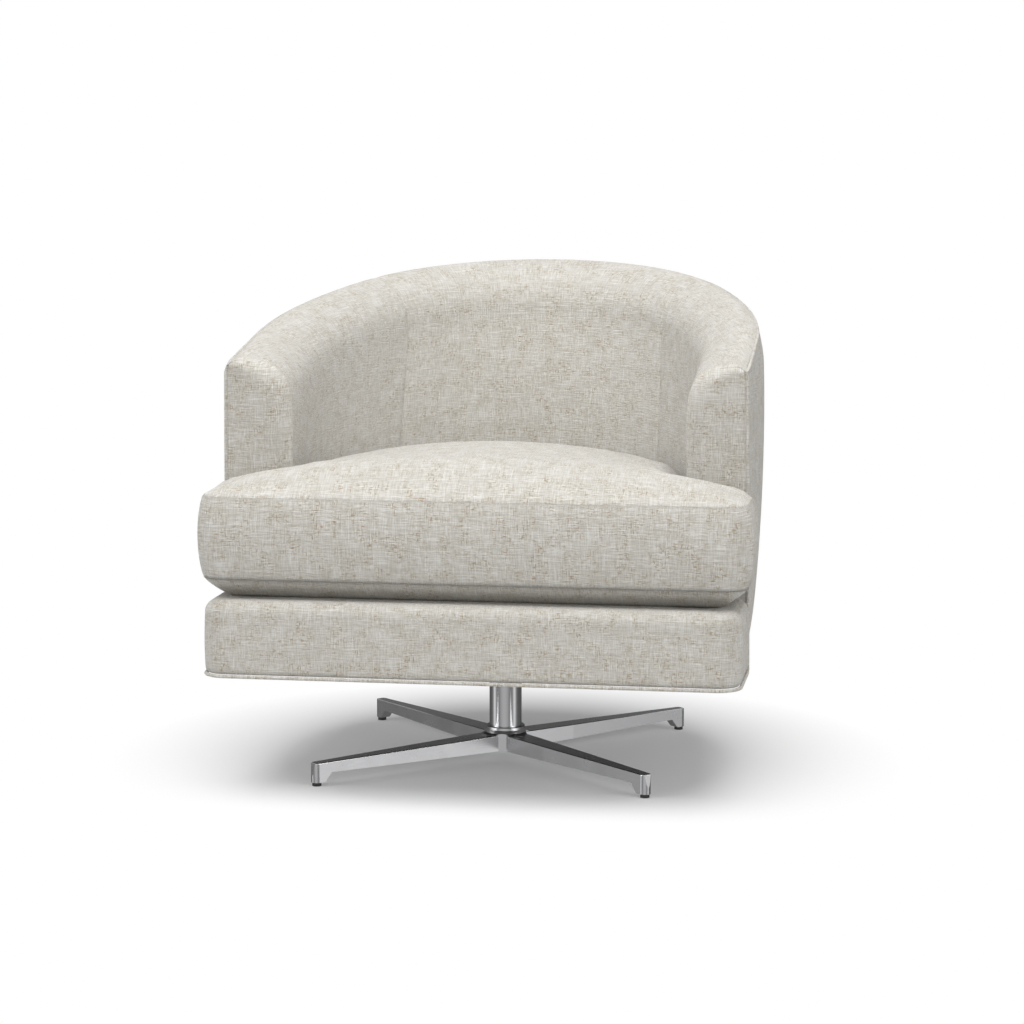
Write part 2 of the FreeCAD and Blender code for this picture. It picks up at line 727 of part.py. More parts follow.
def body_parts():
    sunk = 2 * welt_radius - welt_stand
    crown_side = crown_edge_share * crown_inset
    rail_drop = top_rail_drop + top_rail_height
    tuck_level = body_underside + tuck_height
    under_welt = side_bulge * welt_radius / bulge_drop

    # Rings of the outer surface and the crown, from the bottom up, and of the inside, from the top down.
    outer_top = [rim_ring(bulge_drop, -side_bulge), rim_ring(welt_radius, -under_welt)]
    for ring in outer_top:
        ring.half = front_half_at(arm_height + ring.height)
    over_welt = [
        rim_ring(welt_radius, sunk),
        rim_ring(-crown_rise * sunk / crown_side, sunk),
        rim_ring(-crown_rise, crown_side),
    ]
    inside = [inner_rim_ring(drop, inset) for drop, inset in reversed(roll_section())]

    # Outside cover, up to the welt.
    low_out = Ring(body_underside, False, -bottom_tuck, raked_back(body_underside, -bottom_tuck),
                   front_half_at(body_underside))
    middle_out = Ring(tuck_level, False, 0.0, raked_back(tuck_level, 0.0), front_half_at(tuck_level))
    cover_rings = [low_out, middle_out] + outer_top + [
        rim_ring(welt_radius, cover_thickness),
        rim_ring(top_rail_drop, cover_thickness),
        rim_ring(rail_drop, cover_thickness),
        level_ring(body_underside, cover_thickness),
    ]
    cover = wall(cover_rings, round_run(arm_front_y))

    # Arm fronts: a padded panel over a plywood board of the same outline.
    bulge = side_bulge * (deck_top - tuck_level) / (arm_height - bulge_drop - tuck_level)
    pad_low = Ring(deck_top, False, bulge, raked_back(deck_top, bulge), front_half_at(deck_top))
    front_rings = [pad_low] + outer_top + over_welt + inside + [leaning_ring(deck_top, arm_thickness)]
    front_pad = wall(front_rings, front_run(arm_front_y, arm_pad_back_y))
    board_inset = arm_thickness - front_board_margin
    board_top = roll_inset_at(front_board_margin, front_board_margin)
    board_rings = [
        level_ring(seat_board_top, cover_thickness),
        rim_ring(rail_drop, cover_thickness),
        rim_ring(top_rail_drop, cover_thickness),
        rim_ring(front_board_margin, cover_thickness),
        inner_rim_ring(front_board_margin, board_top),
    ]
    for drop, inset in reversed(roll_section(front_board_margin)):
        if drop > front_board_margin:
            board_rings.append(inner_rim_ring(drop, inset))
    board_rings.append(leaning_ring(seat_board_top, board_inset))
    front_board = wall(board_rings, front_run(arm_pad_back_y, front_board_back_y))

    # Top rail and liner boards.
    top_rail = wall([
        rim_ring(rail_drop, cover_thickness),
        rim_ring(top_rail_drop, cover_thickness),
        inner_rim_ring(top_rail_drop, liner_inset),
        inner_rim_ring(rail_drop, liner_inset),
    ], round_run(front_board_back_y))
    liner_rings = [
        leaning_ring(seat_board_top, liner_inset),
        inner_rim_ring(rail_drop, liner_inset),
        inner_rim_ring(top_rail_drop, liner_inset),
        inner_rim_ring(top_rail_drop, pad_inset),
        inner_rim_ring(rail_drop, pad_inset),
        leaning_ring(seat_board_top, pad_inset),
    ]

    # Padding inside: one piece over each arm and one over the back.
    pad_rings = [
        leaning_ring(seat_board_top, pad_inset),
        inner_rim_ring(rail_drop, pad_inset),
        inner_rim_ring(top_rail_drop, pad_inset),
        rim_ring(top_rail_drop, cover_thickness),
        rim_ring(welt_radius, cover_thickness),
    ] + over_welt + inside + [leaning_ring(seat_board_top, arm_thickness)]
    waste = front_edge_waste()
    arm_padding = wall(pad_rings, arm_run(arm_pad_back_y), leaning_steps).cut(front_board).cut(waste)
    front_pad = front_pad.cut(waste)

    # Welts: the rim welt lies in a step of the padding, and the arm welts in a notch of the arm fronts.
    half = arm_front_half_top + welt_stand - welt_radius
    rim_edges, start = barrel_wire(half, welt_stand - welt_radius, rim_back_y + welt_stand - welt_radius,
                                   arm_front_y + 2 * welt_radius, 1 / math.cos(math.radians(tilt)))
    rim_welt = welt_tube(placed(Part.Wire(rim_edges), 0.0, True))
    arm_welt, arm_notch = arm_welt_and_notch()
    front_zone = block(-far, far, -far, arm_pad_back_y, deck_top, far)
    cover = cover.cut(front_zone).cut(arm_notch).cut(mirrored(arm_notch))
    front_pad = front_pad.cut(arm_notch)

    save("outside_cover", cover)
    save("inside_back_pad", wall(pad_rings, back_run, leaning_steps))
    save("rim_welt", rim_welt)
    save("bottom_welt", bottom_welt_tube())
    save("top_rail", top_rail)
    save("back_liner", wall(liner_rings, back_run, leaning_steps))
    save_pair("inside_arm_pad", arm_padding)
    save_pair("arm_front_pad", front_pad)
    save_pair("arm_front_board", front_board)
    save_pair("arm_liner", wall(liner_rings, arm_run(front_board_back_y), leaning_steps))
    save_pair("arm_welt", arm_welt)

    # Straight posts between the seat board and the top rail.
    post_back = liner_inset - post_clearance
    side_rings = [
        level_ring(seat_board_top, cover_thickness),
        rim_ring(rail_drop, cover_thickness),
        rim_ring(rail_drop, post_back),
        level_ring(seat_board_top, post_back),
    ]
    back_rings = side_rings[:3] + [level_ring(seat_board_top, cover_thickness + back_post_depth)]
    save_pair("side_post", wall(side_rings, side_post_run))
    save_pair("back_post", wall(back_rings, back_post_run(back_post_angle)))
    save("back_post_centre", wall(back_rings, back_post_run(0.0)))

    # Lower frame: a bent rail around the barrel, with the front box, the board and the cross rails.
    cover_core = nested_form(cover_thickness, body_underside, seat_board_top)
    rail_core = nested_form(liner_inset, body_underside, seat_board_top)
    lower_zone = block(-far, far, arm_front_y, far, frame_underside, rail_top)
    save("barrel_rail", cover_core.cut(rail_core).common(lower_zone))
    frame_parts(cover_core, rail_core)
    save("front_border", front_border().cut(arm_notch).cut(mirrored(arm_notch)))
    deck_wires = []
    for height in (deck_pad_bottom, deck_top):
        deck_wires.append(section(height, False, -arm_thickness, inner_back(height)))
    save("deck_pad", loft(deck_wires))


def save_pair(name, right):
    save(name + "_right", right)
    save(name + "_left", mirrored(right))


def side_post_run(ring):
    low = ring.side_angle(side_post_y)
    high = ring.side_angle(side_post_y + post_width)
    return [line(ring.on_side(low), ring.on_side(high))]


def back_post_run(plane_angle):
    def edges(ring):
        low = ring.back_angle(plane_angle, post_width / 2)
        high = ring.back_angle(plane_angle, -post_width / 2)
        return [line(ring.on_back(low), ring.on_back(high))]
    return edges


def arm_welt_and_notch():
    inward = welt_stand - welt_radius
    low_z = body_underside
    high_z = arm_height + welt_radius
    low = Vec(arm_front_half_bottom + inward, arm_front_y - inward, low_z)
    high = Vec(arm_front_half_top + inward, arm_front_y - inward, high_z)
    welt = Part.makeCylinder(welt_radius, (high - low).Length, low, high - low)
    squares = []
    for centre in (low, high):
        x0 = centre.x - welt_radius
        x1 = centre.x + 3 * welt_radius
        y0 = centre.y - 3 * welt_radius
        y1 = centre.y + welt_radius
        z = centre.z
        squares.append(polygon([Vec(x0, y0, z), Vec(x1, y0, z), Vec(x1, y1, z), Vec(x0, y1, z)]))
    return welt, loft(squares)


def border_plan(inset, low, high):
    half = arm_front_half_bottom - inset
    front = border_front_y + inset
    radius = border_corner - inset
    solid = block(-half, half, front, arm_front_y, low, high)
    corners = []
    for edge in solid.Edges:
        box = edge.BoundBox
        if abs(box.ZLength - (high - low)) < 0.01 and box.YMax < front + 1:
            corners.append(edge)
    return solid.makeFillet(radius, corners)


def front_border():
    solid = border_plan(0.0, body_underside, deck_top)
    rolled = []
    for edge in solid.Edges:
        box = edge.BoundBox
        at_top = box.ZMin > deck_top - 0.1
        at_rear = box.YMin > arm_front_y - 0.1
        if at_top and not at_rear:
            rolled.append(edge)
    solid = solid.makeFillet(border_top_round, rolled)
    cavity = border_plan(border_padding, 0.0, seat_board_top)
    half = opening_half_width + strap_overlap + 1
    straps = block(-half, half, opening_front_y - strap_overlap - 1, arm_front_y, 0, deck_pad_bottom)
    rear = block(-far, far, arm_front_y - 0.01, arm_front_y, 0, seat_board_top)
    return solid.cut(cavity).cut(straps).cut(rear)


def bottom_welt_tube():
    level = body_underside - welt_radius
    inward = welt_stand - welt_radius
    out = inward - bottom_tuck
    edges, start = barrel_wire(arm_front_half_bottom + inward, out, raked_back(body_underside, out))
    half = arm_front_half_bottom + inward
    front = border_front_y - inward
    radius = border_corner + inward
    bend = radius * (1 - math.sqrt(0.5))
    right_end = Vec(half, front + radius, 0)
    left_end = Vec(-half, front + radius, 0)
    edges.append(line(Vec(-half, arm_front_y, 0), left_end))
    edges.append(arc(left_end, Vec(-half + bend, front + bend, 0), Vec(-half + radius, front, 0)))
    edges.append(line(Vec(-half + radius, front, 0), Vec(half - radius, front, 0)))
    edges.append(arc(Vec(half - radius, front, 0), Vec(half - bend, front + bend, 0), right_end))
    edges.append(line(right_end, Vec(half, arm_front_y, 0)))
    return welt_tube(placed(Part.Wire(edges), level, False))


def frame_parts(cover_core, rail_core):
    half = arm_front_half_bottom - border_padding
    front = border_front_y + border_padding
    inner_front = front + rail_thickness
    box = border_plan(border_padding, frame_underside, rail_top)
    behind = block(-far, far, inner_front, far, 0, far)
    middle_zone = block(-half + rail_thickness, half - rail_thickness, -far, far, 0, far)
    save("front_rail", box.cut(behind))
    returns = box.common(behind).cut(middle_zone)
    right_half = block(0, far, -far, far, 0, far)
    save("front_return_right", returns.common(right_half))
    save("front_return_left", mirrored(returns.common(right_half)))

    # Seat board: one plywood panel that ties the frame together, cut open under the webbing.
    board = border_plan(border_padding, rail_top, seat_board_top)
    rear = cover_core.common(block(-far, far, arm_front_y, far, rail_top, seat_board_top))
    opening = block(-opening_half_width, opening_half_width, opening_front_y, opening_back_y,
                    rail_top - 1, seat_board_top + 1)
    uprights = [edge for edge in opening.Edges if edge.BoundBox.ZLength > 1]
    opening = opening.makeFillet(opening_corner, uprights)
    save("seat_board", board.fuse(rear).removeSplitter().cut(opening))

    # Cross rails that carry the swivel plate.
    middle = plate_bolt_spacing / 2
    bars = []
    for y in (-middle, middle):
        bar = block(-far, far, y - cross_rail_width / 2, y + cross_rail_width / 2,
                    plate_top, plate_top + cross_rail_height)
        bar = bar.common(rail_core)
        for x in (-middle, middle):
            high = plate_top + cross_rail_height
            bar = bar.cut(cylinder(plate_bolt_radius + bolt_clearance, plate_top - 1, high + 1, x, y))
        bars.append(bar)
    save("cross_rails", group(bars))

    # Glue blocks in the front corners of the frame.
    blocks = []
    for side in (-1, 1):
        corner = Vec(side * (half - rail_thickness), inner_front, frame_underside + corner_block_end_gap)
        along = Vec(-side * corner_block_side, 0, 0)
        back = Vec(0, corner_block_side, 0)
        blocks.append(prism([corner, corner + along, corner + back], rail_top - corner.z))
    save("corner_blocks", group(blocks))

    # Dust cover: thin cloth under the frame, cut open around the swivel plate.
    low = frame_underside - dust_cover_thickness
    sheet = border_plan(border_padding, low, frame_underside)
    rear = cover_core.common(block(-far, far, arm_front_y, far, low, frame_underside))
    hole = plate_side / 2 + dust_cover_gap
    opening = block(-hole, hole, -hole, hole, low - 1, frame_underside + 1)
    save("dust_cover", sheet.fuse(rear).removeSplitter().cut(opening))


# Webbing: cross straps tacked to the seat board, with long straps over them.
def webbing():
    straps = []
    low = seat_board_top
    middle = low + strap_thickness
    reach = opening_half_width + strap_overlap
    step = (opening_back_y - opening_front_y - strap_width) / (cross_strap_count + 1)
    for n in range(cross_strap_count):
        start = opening_front_y + (n + 1) * step
        straps.append(block(-reach, reach, start, start + strap_width, low, middle))
    for n in range(long_strap_count):
        centre = (n - (long_strap_count - 1) / 2) * long_strap_spacing
        left = centre - strap_width / 2
        straps.append(block(left, left + strap_width, opening_front_y - strap_overlap,
                            opening_back_y + strap_overlap, middle, webbing_top))
    save("seat_webbing", group(straps))


# Loose cushion: a T-shaped plan whose size and height follow the seams and the crown.
def cushion_wire(height, inset, scale=1.0):
    low_back = deck_inner_back_y
    rise = (height - deck_top) / (rim_back_height - roll_drop - deck_top)
    lean = (rim_back_y - arm_thickness - low_back) * max(rise, 0.0)
    out = -arm_thickness - cushion_side_clearance - inset
    back = low_back + cushion_back_follow * lean - cushion_side_clearance - inset
    turn = math.radians(side_arc_turn)
    side = body_half_width + out
    side_radius = side_arc_radius + out
    back_radius = back_arc_radius + out
    centre = back - back_radius
    knee = Vec(back_radius * math.cos(turn), centre + back_radius * math.sin(turn), 0)
    side_y = knee.y - side_radius * math.sin(turn)
    half = cushion_half_width - inset
    front = cushion_front_y + inset
    notch = arm_front_y - ear_clearance - inset
    large = min(ear_front_corner, 0.5 * (notch - front))
    bend = large * (1 - math.sqrt(0.5))
    half_turn = turn / 2
    lean = (turn + math.pi / 2) / 2
    side_x = side - side_radius * (1 - math.cos(half_turn))
    side_middle = Vec(side_x, side_y + side_radius * math.sin(half_turn), 0)
    back_middle = Vec(back_radius * math.cos(lean), centre + back_radius * math.sin(lean), 0)
    right = [
        (Vec(0, front, 0), None, Vec(half - large, front, 0)),
        (Vec(half - large, front, 0), Vec(half - bend, front + bend, 0), Vec(half, front + large, 0)),
        (Vec(half, front + large, 0), None, Vec(half, notch, 0)),
        (Vec(half, notch, 0), None, Vec(side, notch, 0)),
        (Vec(side, notch, 0), None, Vec(side, side_y, 0)),
        (Vec(side, side_y, 0), side_middle, knee),
        (knee, back_middle, Vec(0, back, 0)),
    ]
    wire = Part.Wire(outline_edges(right))
    if scale != 1.0:
        wire = wire.scaled(scale, Vec(0, crown_centre_y, 0))
    wire.translate(Vec(0, 0, height))
    return wire


def cushion_form():
    base = deck_top + pad_rest_gap
    low = cushion_bottom_seam
    high = cushion_top_seam
    crown = cushion_crown - high
    shoulder = high + crown_shoulder_share * crown
    rows = [
        (0.0, cushion_bottom_tuck),
        (low, cushion_bottom_seam_inset),
        ((low + high) / 2, 0.0),
        (high, cushion_top_seam_inset),
        (shoulder, crown_shoulder_inset),
    ]
    wires = [cushion_wire(base + rise, inset) for rise, inset in rows]
    for step in range(1, crown_steps + 1):
        share = step / crown_steps
        rise = shoulder + (cushion_crown - shoulder) * share
        wires.append(cushion_wire(base + rise, crown_shoulder_inset, 1 - (1 - crown_top_scale) * share))
    return loft(wires)


save("star_base", star_base())
save("glides", glides())
column_parts()
bearing_parts()
spindle_parts()
plate_parts()
body_parts()
webbing()
core_plan = Part.Face(cushion_wire(deck_top + pad_rest_gap + cushion_core_rise, cushion_core_inset))
core = core_plan.extrude(Vec(0, 0, cushion_core_height))
save("cushion_cover", cushion_form().cut(core))
save("cushion_core", core)
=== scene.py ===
"""Swivel lounge chair: its cloth, metal and hidden frame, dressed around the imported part."""
import json
import math
import bpy
import numpy as np
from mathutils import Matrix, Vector


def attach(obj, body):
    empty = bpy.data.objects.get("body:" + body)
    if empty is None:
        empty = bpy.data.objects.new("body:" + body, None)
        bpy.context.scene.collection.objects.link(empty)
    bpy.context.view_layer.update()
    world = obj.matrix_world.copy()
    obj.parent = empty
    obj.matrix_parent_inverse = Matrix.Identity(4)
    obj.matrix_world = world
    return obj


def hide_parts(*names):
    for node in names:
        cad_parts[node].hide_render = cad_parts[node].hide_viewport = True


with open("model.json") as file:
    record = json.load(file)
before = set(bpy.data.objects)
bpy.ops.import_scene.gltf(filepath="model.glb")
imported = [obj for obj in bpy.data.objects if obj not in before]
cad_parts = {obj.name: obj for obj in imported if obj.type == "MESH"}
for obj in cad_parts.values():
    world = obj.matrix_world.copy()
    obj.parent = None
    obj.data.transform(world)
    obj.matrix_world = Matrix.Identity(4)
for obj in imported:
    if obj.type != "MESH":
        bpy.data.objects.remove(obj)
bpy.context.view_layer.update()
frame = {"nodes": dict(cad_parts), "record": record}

# Camera: stands a little to the right of the chair and looks slightly down, as in the photograph.
# Its place and lens were worked out from the square of the four glides on the floor.
camera_place = (0.6759, -4.2359, 0.9424)
camera_dip = 0.13390
camera_turn = 0.15603
lens_data = bpy.data.cameras.new("studio_camera")
lens_data.lens = 103.93
lens_data.sensor_width = 36.0
lens_data.clip_end = 60.0
studio_camera = bpy.data.objects.new("studio_camera", lens_data)
studio_camera.location = camera_place
studio_camera.rotation_euler = (math.pi / 2 - camera_dip, 0.0, camera_turn)
bpy.context.scene.collection.objects.link(studio_camera)
bpy.context.scene.camera = studio_camera
bpy.context.scene.view_settings.view_transform = "Standard"


# Studio: a pale floor that keeps the chair's shadow and fades to plain white further out, in a white room.
# One large soft lamp hangs above, a weak one stands in front and one on either side.
def new_finish(name):
    """A new material, with its node tree and its surface shader."""
    finish = bpy.data.materials.new(name)
    finish.use_nodes = True
    tree = finish.node_tree
    return finish, tree, tree.nodes["Principled BSDF"]


def put(tree, kind, inputs=(), **settings):
    """A new node, with its settings, and with its inputs linked or set by name or place."""
    made = tree.nodes.new(kind)
    for key, value in settings.items():
        setattr(made, key, value)
    for key, value in dict(inputs).items():
        socket = made.inputs[key]
        if isinstance(value, bpy.types.NodeSocket):
            tree.links.new(value, socket)
        else:
            socket.default_value = value
    return made


def sums(tree, operation, first, second=0.0, third=None):
    """The result of one sum on up to three numbers."""
    numbers = {place: value for place, value in enumerate((first, second, third)) if value is not None}
    return put(tree, "ShaderNodeMath", numbers, operation=operation).outputs[0]


def spread(tree, value, low, high, to_low=0.0, to_high=1.0):
    """A value between low and high, spread over another range and held inside it."""
    ends = {"Value": value, "From Min": low, "From Max": high, "To Min": to_low, "To Max": to_high}
    return put(tree, "ShaderNodeMapRange", ends).outputs[0]


def grey(level):
    """A plain grey, for the floor and the room."""
    return (level, level, level, 1)


floor_radius = 0.95
floor_sides = 96
fade_start = 0.32
fade_end = 0.585
floor_turns = np.linspace(0, 2 * math.pi, floor_sides + 1)[:-1]
floor_rim = [(floor_radius * math.cos(turn), floor_radius * math.sin(turn), 0.0) for turn in floor_turns]
floor_mesh = bpy.data.meshes.new("studio_floor")
floor_mesh.from_pydata(floor_rim, [], [tuple(range(floor_sides))])
studio_floor = bpy.data.objects.new("studio_floor", floor_mesh)
bpy.context.scene.collection.objects.link(studio_floor)
studio_floor.visible_glossy = False
floor_paint, floor_tree, floor_surface = new_finish("floor_paint")
floor_surface.inputs["Base Color"].default_value = grey(0.60)
floor_surface.inputs["Roughness"].default_value = 0.9
floor_surface.inputs["Specular IOR Level"].default_value = 0.1
floor_surface.inputs["Emission Color"].default_value = grey(1)
floor_surface.inputs["Emission Strength"].default_value = 0.18
floor_glow = put(floor_tree, "ShaderNodeEmission", {"Color": grey(1), "Strength": 1.0})
floor_place = put(floor_tree, "ShaderNodeNewGeometry").outputs["Position"]
floor_reach = put(floor_tree, "ShaderNodeVectorMath", {0: floor_place}, operation="LENGTH").outputs["Value"]
floor_fade = spread(floor_tree, floor_reach, fade_start, fade_end)
floor_rays = put(floor_tree, "ShaderNodeLightPath").outputs
floor_seen = sums(floor_tree, "MAXIMUM", floor_rays["Is Camera Ray"], floor_rays["Is Glossy Ray"])
floor_share = sums(floor_tree, "MULTIPLY", floor_fade, floor_seen)
floor_mix = put(floor_tree, "ShaderNodeMixShader",
                {0: floor_share, 1: floor_surface.outputs[0], 2: floor_glow.outputs[0]})
floor_tree.links.new(floor_mix.outputs[0], floor_tree.nodes["Material Output"].inputs["Surface"])
floor_mesh.materials.append(floor_paint)

# The room is plain white to the camera and lights everything at room_level. Metal mirrors grey bands in it, which
# run from in front of the chair (0) to behind it (1), and a bright ceiling.
room_level = 0.35
mirror_bands = ((0.0, 0.66), (0.063, 0.46), (0.117, 0.29), (0.23, 0.23), (0.29, 0.55), (0.34, 1.0),
                (0.42, 1.0), (0.475, 0.5), (0.56, 0.24), (0.65, 0.16), (0.8, 0.13), (1.0, 0.13))
ceiling_start = 0.25
ceiling_end = 0.7
ceiling_level = 0.9
room = bpy.data.worlds.new("white_room")
room.use_nodes = True
bpy.context.scene.world = room
room_tree = room.node_tree
room_rays = put(room_tree, "ShaderNodeLightPath").outputs
room_seen = sums(room_tree, "MAXIMUM", room_rays["Is Camera Ray"], room_rays["Is Transmission Ray"])
room_aim = put(room_tree, "ShaderNodeTexCoord").outputs["Generated"]
room_aim = put(room_tree, "ShaderNodeSeparateXYZ", {0: room_aim}).outputs
room_front = sums(room_tree, "MULTIPLY_ADD", room_aim[1], 0.5, 0.5)
room_bands = put(room_tree, "ShaderNodeValToRGB", {0: room_front})
bands = room_bands.color_ramp.elements
bands[0].color = grey(mirror_bands[0][1])
bands[1].color = grey(mirror_bands[-1][1])
for place, level in mirror_bands[1:-1]:
    bands.new(place).color = grey(level)
room_above = spread(room_tree, room_aim[2], ceiling_start, ceiling_end, 0.0, ceiling_level)
room_mirrored = sums(room_tree, "MAXIMUM", room_bands.outputs[0], room_above)
room_change = sums(room_tree, "SUBTRACT", room_mirrored, room_level)
room_glossy = sums(room_tree, "MULTIPLY", room_rays["Is Glossy Ray"], room_change)
room_light = sums(room_tree, "MULTIPLY_ADD", room_seen, 1.0 - room_level, room_level)
room_light = sums(room_tree, "ADD", room_light, room_glossy)
room_back = room_tree.nodes["Background"]
room_tree.links.new(room_light, room_back.inputs["Strength"])
room_back.inputs["Color"].default_value = grey(1)

lamp_aim = Vector((0.0, 0.0, 0.4))
for name, place, width, height, power in (("top_softbox", (0.0, -0.8, 2.8), 3.0, 2.4, 96.0),
                                          ("front_softbox", (0.2, -3.4, 1.8), 2.4, 1.6, 12.0),
                                          ("left_softbox", (-2.7, -1.6, 1.25), 1.8, 1.4, 33.0),
                                          ("right_softbox", (2.7, -1.6, 1.25), 1.8, 1.4, 34.0)):
    lamp_data = bpy.data.lights.new(name, "AREA")
    lamp_data.shape = "RECTANGLE"
    lamp_data.size = width
    lamp_data.size_y = height
    lamp_data.energy = power
    soft_lamp = bpy.data.objects.new(name, lamp_data)
    soft_lamp.location = place
    soft_lamp.rotation_euler = (lamp_aim - Vector(place)).to_track_quat("-Z", "Y").to_euler()
    bpy.context.scene.collection.objects.link(soft_lamp)


# Upholstery cloth: a pale slubbed linen-look weave with tan flecks, lengthwise and crosswise threads.
# It follows each panel's own threads, because every panel carries its cut, its place on the cloth in metres.
shade_thread = (0.470, 0.448, 0.398)
pale_thread = (0.650, 0.637, 0.603)
light_thread = (0.770, 0.765, 0.745)
tan_fleck = (0.300, 0.215, 0.110)
thread_sway = 0.0035
thread_turns = 3900.0
crossing_share = 0.35
weave_height = 0.0013
oatmeal_weave, tree, surface = new_finish("oatmeal_weave")
cut = put(tree, "ShaderNodeUVMap", uv_map="cut").outputs[0]
sway = put(tree, "ShaderNodeTexNoise", {"Vector": cut, "Scale": 38.0, "Detail": 1.0}).outputs["Color"]
sway = put(tree, "ShaderNodeVectorMath", {0: sway, 1: (0.5, 0.5, 0.5)}, operation="SUBTRACT").outputs[0]
cut_swayed = put(tree, "ShaderNodeVectorMath", {0: sway, 1: (thread_sway, thread_sway, 0.0), 2: cut},
                 operation="MULTIPLY_ADD").outputs[0]


def grains(tree, vector, scale, detail=2.0, roughness=0.5, dimensions="3D"):
    """Soft noise from 0 to 1."""
    made = put(tree, "ShaderNodeTexNoise", {"Vector": vector, "Scale": scale, "Detail": detail,
                                            "Roughness": roughness}, noise_dimensions=dimensions)
    return made.outputs[0]


def threads(along, across, shift, detail=2.0):
    """Noise stretched into threads: grains per metre along the cut and across it, from a place of its own."""
    stretched = put(tree, "ShaderNodeVectorMath",
                    {0: cut_swayed, 1: (along, across, 0.0), 2: (shift, shift, 0.0)},
                    operation="MULTIPLY_ADD").outputs[0]
    return grains(tree, stretched, 1.0, detail, 0.55, "2D")


def blend_colours(tree, share, first, second):
    """Mixes two colours. The node's sockets 0, 6 and 7 are the share and the two colours."""
    first, second = [colour if isinstance(colour, bpy.types.NodeSocket) else (*colour, 1.0)
                     for colour in (first, second)]
    return put(tree, "ShaderNodeMix", {0: share, 6: first, 7: second}, data_type="RGBA").outputs[2]


weft = threads(48.0, 780.0, 3.1)
warp = threads(780.0, 60.0, 7.7)
weft_long = threads(14.0, 460.0, 12.4)
warp_long = threads(460.0, 16.0, 17.9)
patch = grains(tree, cut, 30.0, 2.0, 0.6)
tone = sums(tree, "ADD", sums(tree, "MULTIPLY", weft, 0.30), sums(tree, "MULTIPLY", warp, 0.30))
for thread, share in ((weft_long, 0.16), (warp_long, 0.14), (patch, 0.12)):
    tone = sums(tree, "MULTIPLY_ADD", thread, share, tone)
tone = spread(tree, tone, 0.43, 0.62)
pale = blend_colours(tree, tone, shade_thread, pale_thread)
light_weft = spread(tree, threads(26.0, 860.0, 41.3, 1.0), 0.62, 0.74, 0.0, 0.6)
light_warp = spread(tree, threads(860.0, 30.0, 47.8, 1.0), 0.63, 0.75, 0.0, 0.6)
pale = blend_colours(tree, sums(tree, "MAXIMUM", light_weft, light_warp), pale, light_thread)
fleck_weft = spread(tree, threads(120.0, 720.0, 23.3, 1.0), 0.56, 0.72)
fleck_warp = spread(tree, threads(720.0, 130.0, 29.6, 1.0), 0.58, 0.74)
fleck_patch = spread(tree, grains(tree, cut, 42.0, 2.0, 0.6), 0.40, 0.62, 0.08, 0.85)
flecks = sums(tree, "MULTIPLY", sums(tree, "MAXIMUM", fleck_weft, fleck_warp), fleck_patch)
cloth_colour = blend_colours(tree, flecks, pale, tan_fleck)
crossings = put(tree, "ShaderNodeVectorMath", {0: cut_swayed, 1: (thread_turns, thread_turns, 0.0)},
                operation="MULTIPLY").outputs[0]
crossings = put(tree, "ShaderNodeVectorMath", {0: crossings}, operation="SINE").outputs[0]
crossings = put(tree, "ShaderNodeSeparateXYZ", {0: crossings}).outputs
pattern = sums(tree, "MULTIPLY", crossings[0], crossings[1])
relief = sums(tree, "MULTIPLY_ADD", pattern, crossing_share, tone)
cloth_bump = put(tree, "ShaderNodeBump", {"Height": relief, "Strength": 0.8, "Distance": weave_height})
tree.links.new(cloth_colour, surface.inputs["Base Color"])
tree.links.new(cloth_bump.outputs[0], surface.inputs["Normal"])
surface.inputs["Roughness"].default_value = 0.92
surface.inputs["Specular IOR Level"].default_value = 0.2
surface.inputs["Sheen Weight"].default_value = 0.3
surface.inputs["Sheen Roughness"].default_value = 0.45


# Outside cover: one panel of cloth around the barrel, from the bottom welt to the rim welt and between the arm
# welts. It is pulled over thin padding, swells a little below the rim and tucks in at the bottom.
body_half = 0.3675
side_arc = 0.725
side_turn = math.radians(27.66)
back_arc = (body_half - side_arc * (1 - math.cos(side_turn))) / math.cos(side_turn)
seam_turn = math.radians(33.0)
arm_front = -0.198
arm_height = 0.5905
arm_half_top = 0.369
arm_flare = 0.004
rim_back = 0.4737
rim_slope = 0.1727
rim_tilt = math.atan(rim_slope)
rim_back_height = arm_height + rim_slope * (rim_back - arm_front)
back_rake = 0.025
body_underside = 0.1768
corner_pull = 0.0035
corner_drop = 0.012
corner_run = 0.035
cover_cut_row = 30


def arm_half_width(height):
    """Half the width over the outer edges of the arm fronts, which flare a little towards the bottom."""
    share = (arm_height - height) / (arm_height - body_underside)
    return arm_half_top + arm_flare * share


def raked_back(height, out):
    """How far back the outside of the barrel is at a height, because its back leans."""
    return rim_back - back_rake * (rim_back_height - height) / (rim_back_height - body_underside) + out


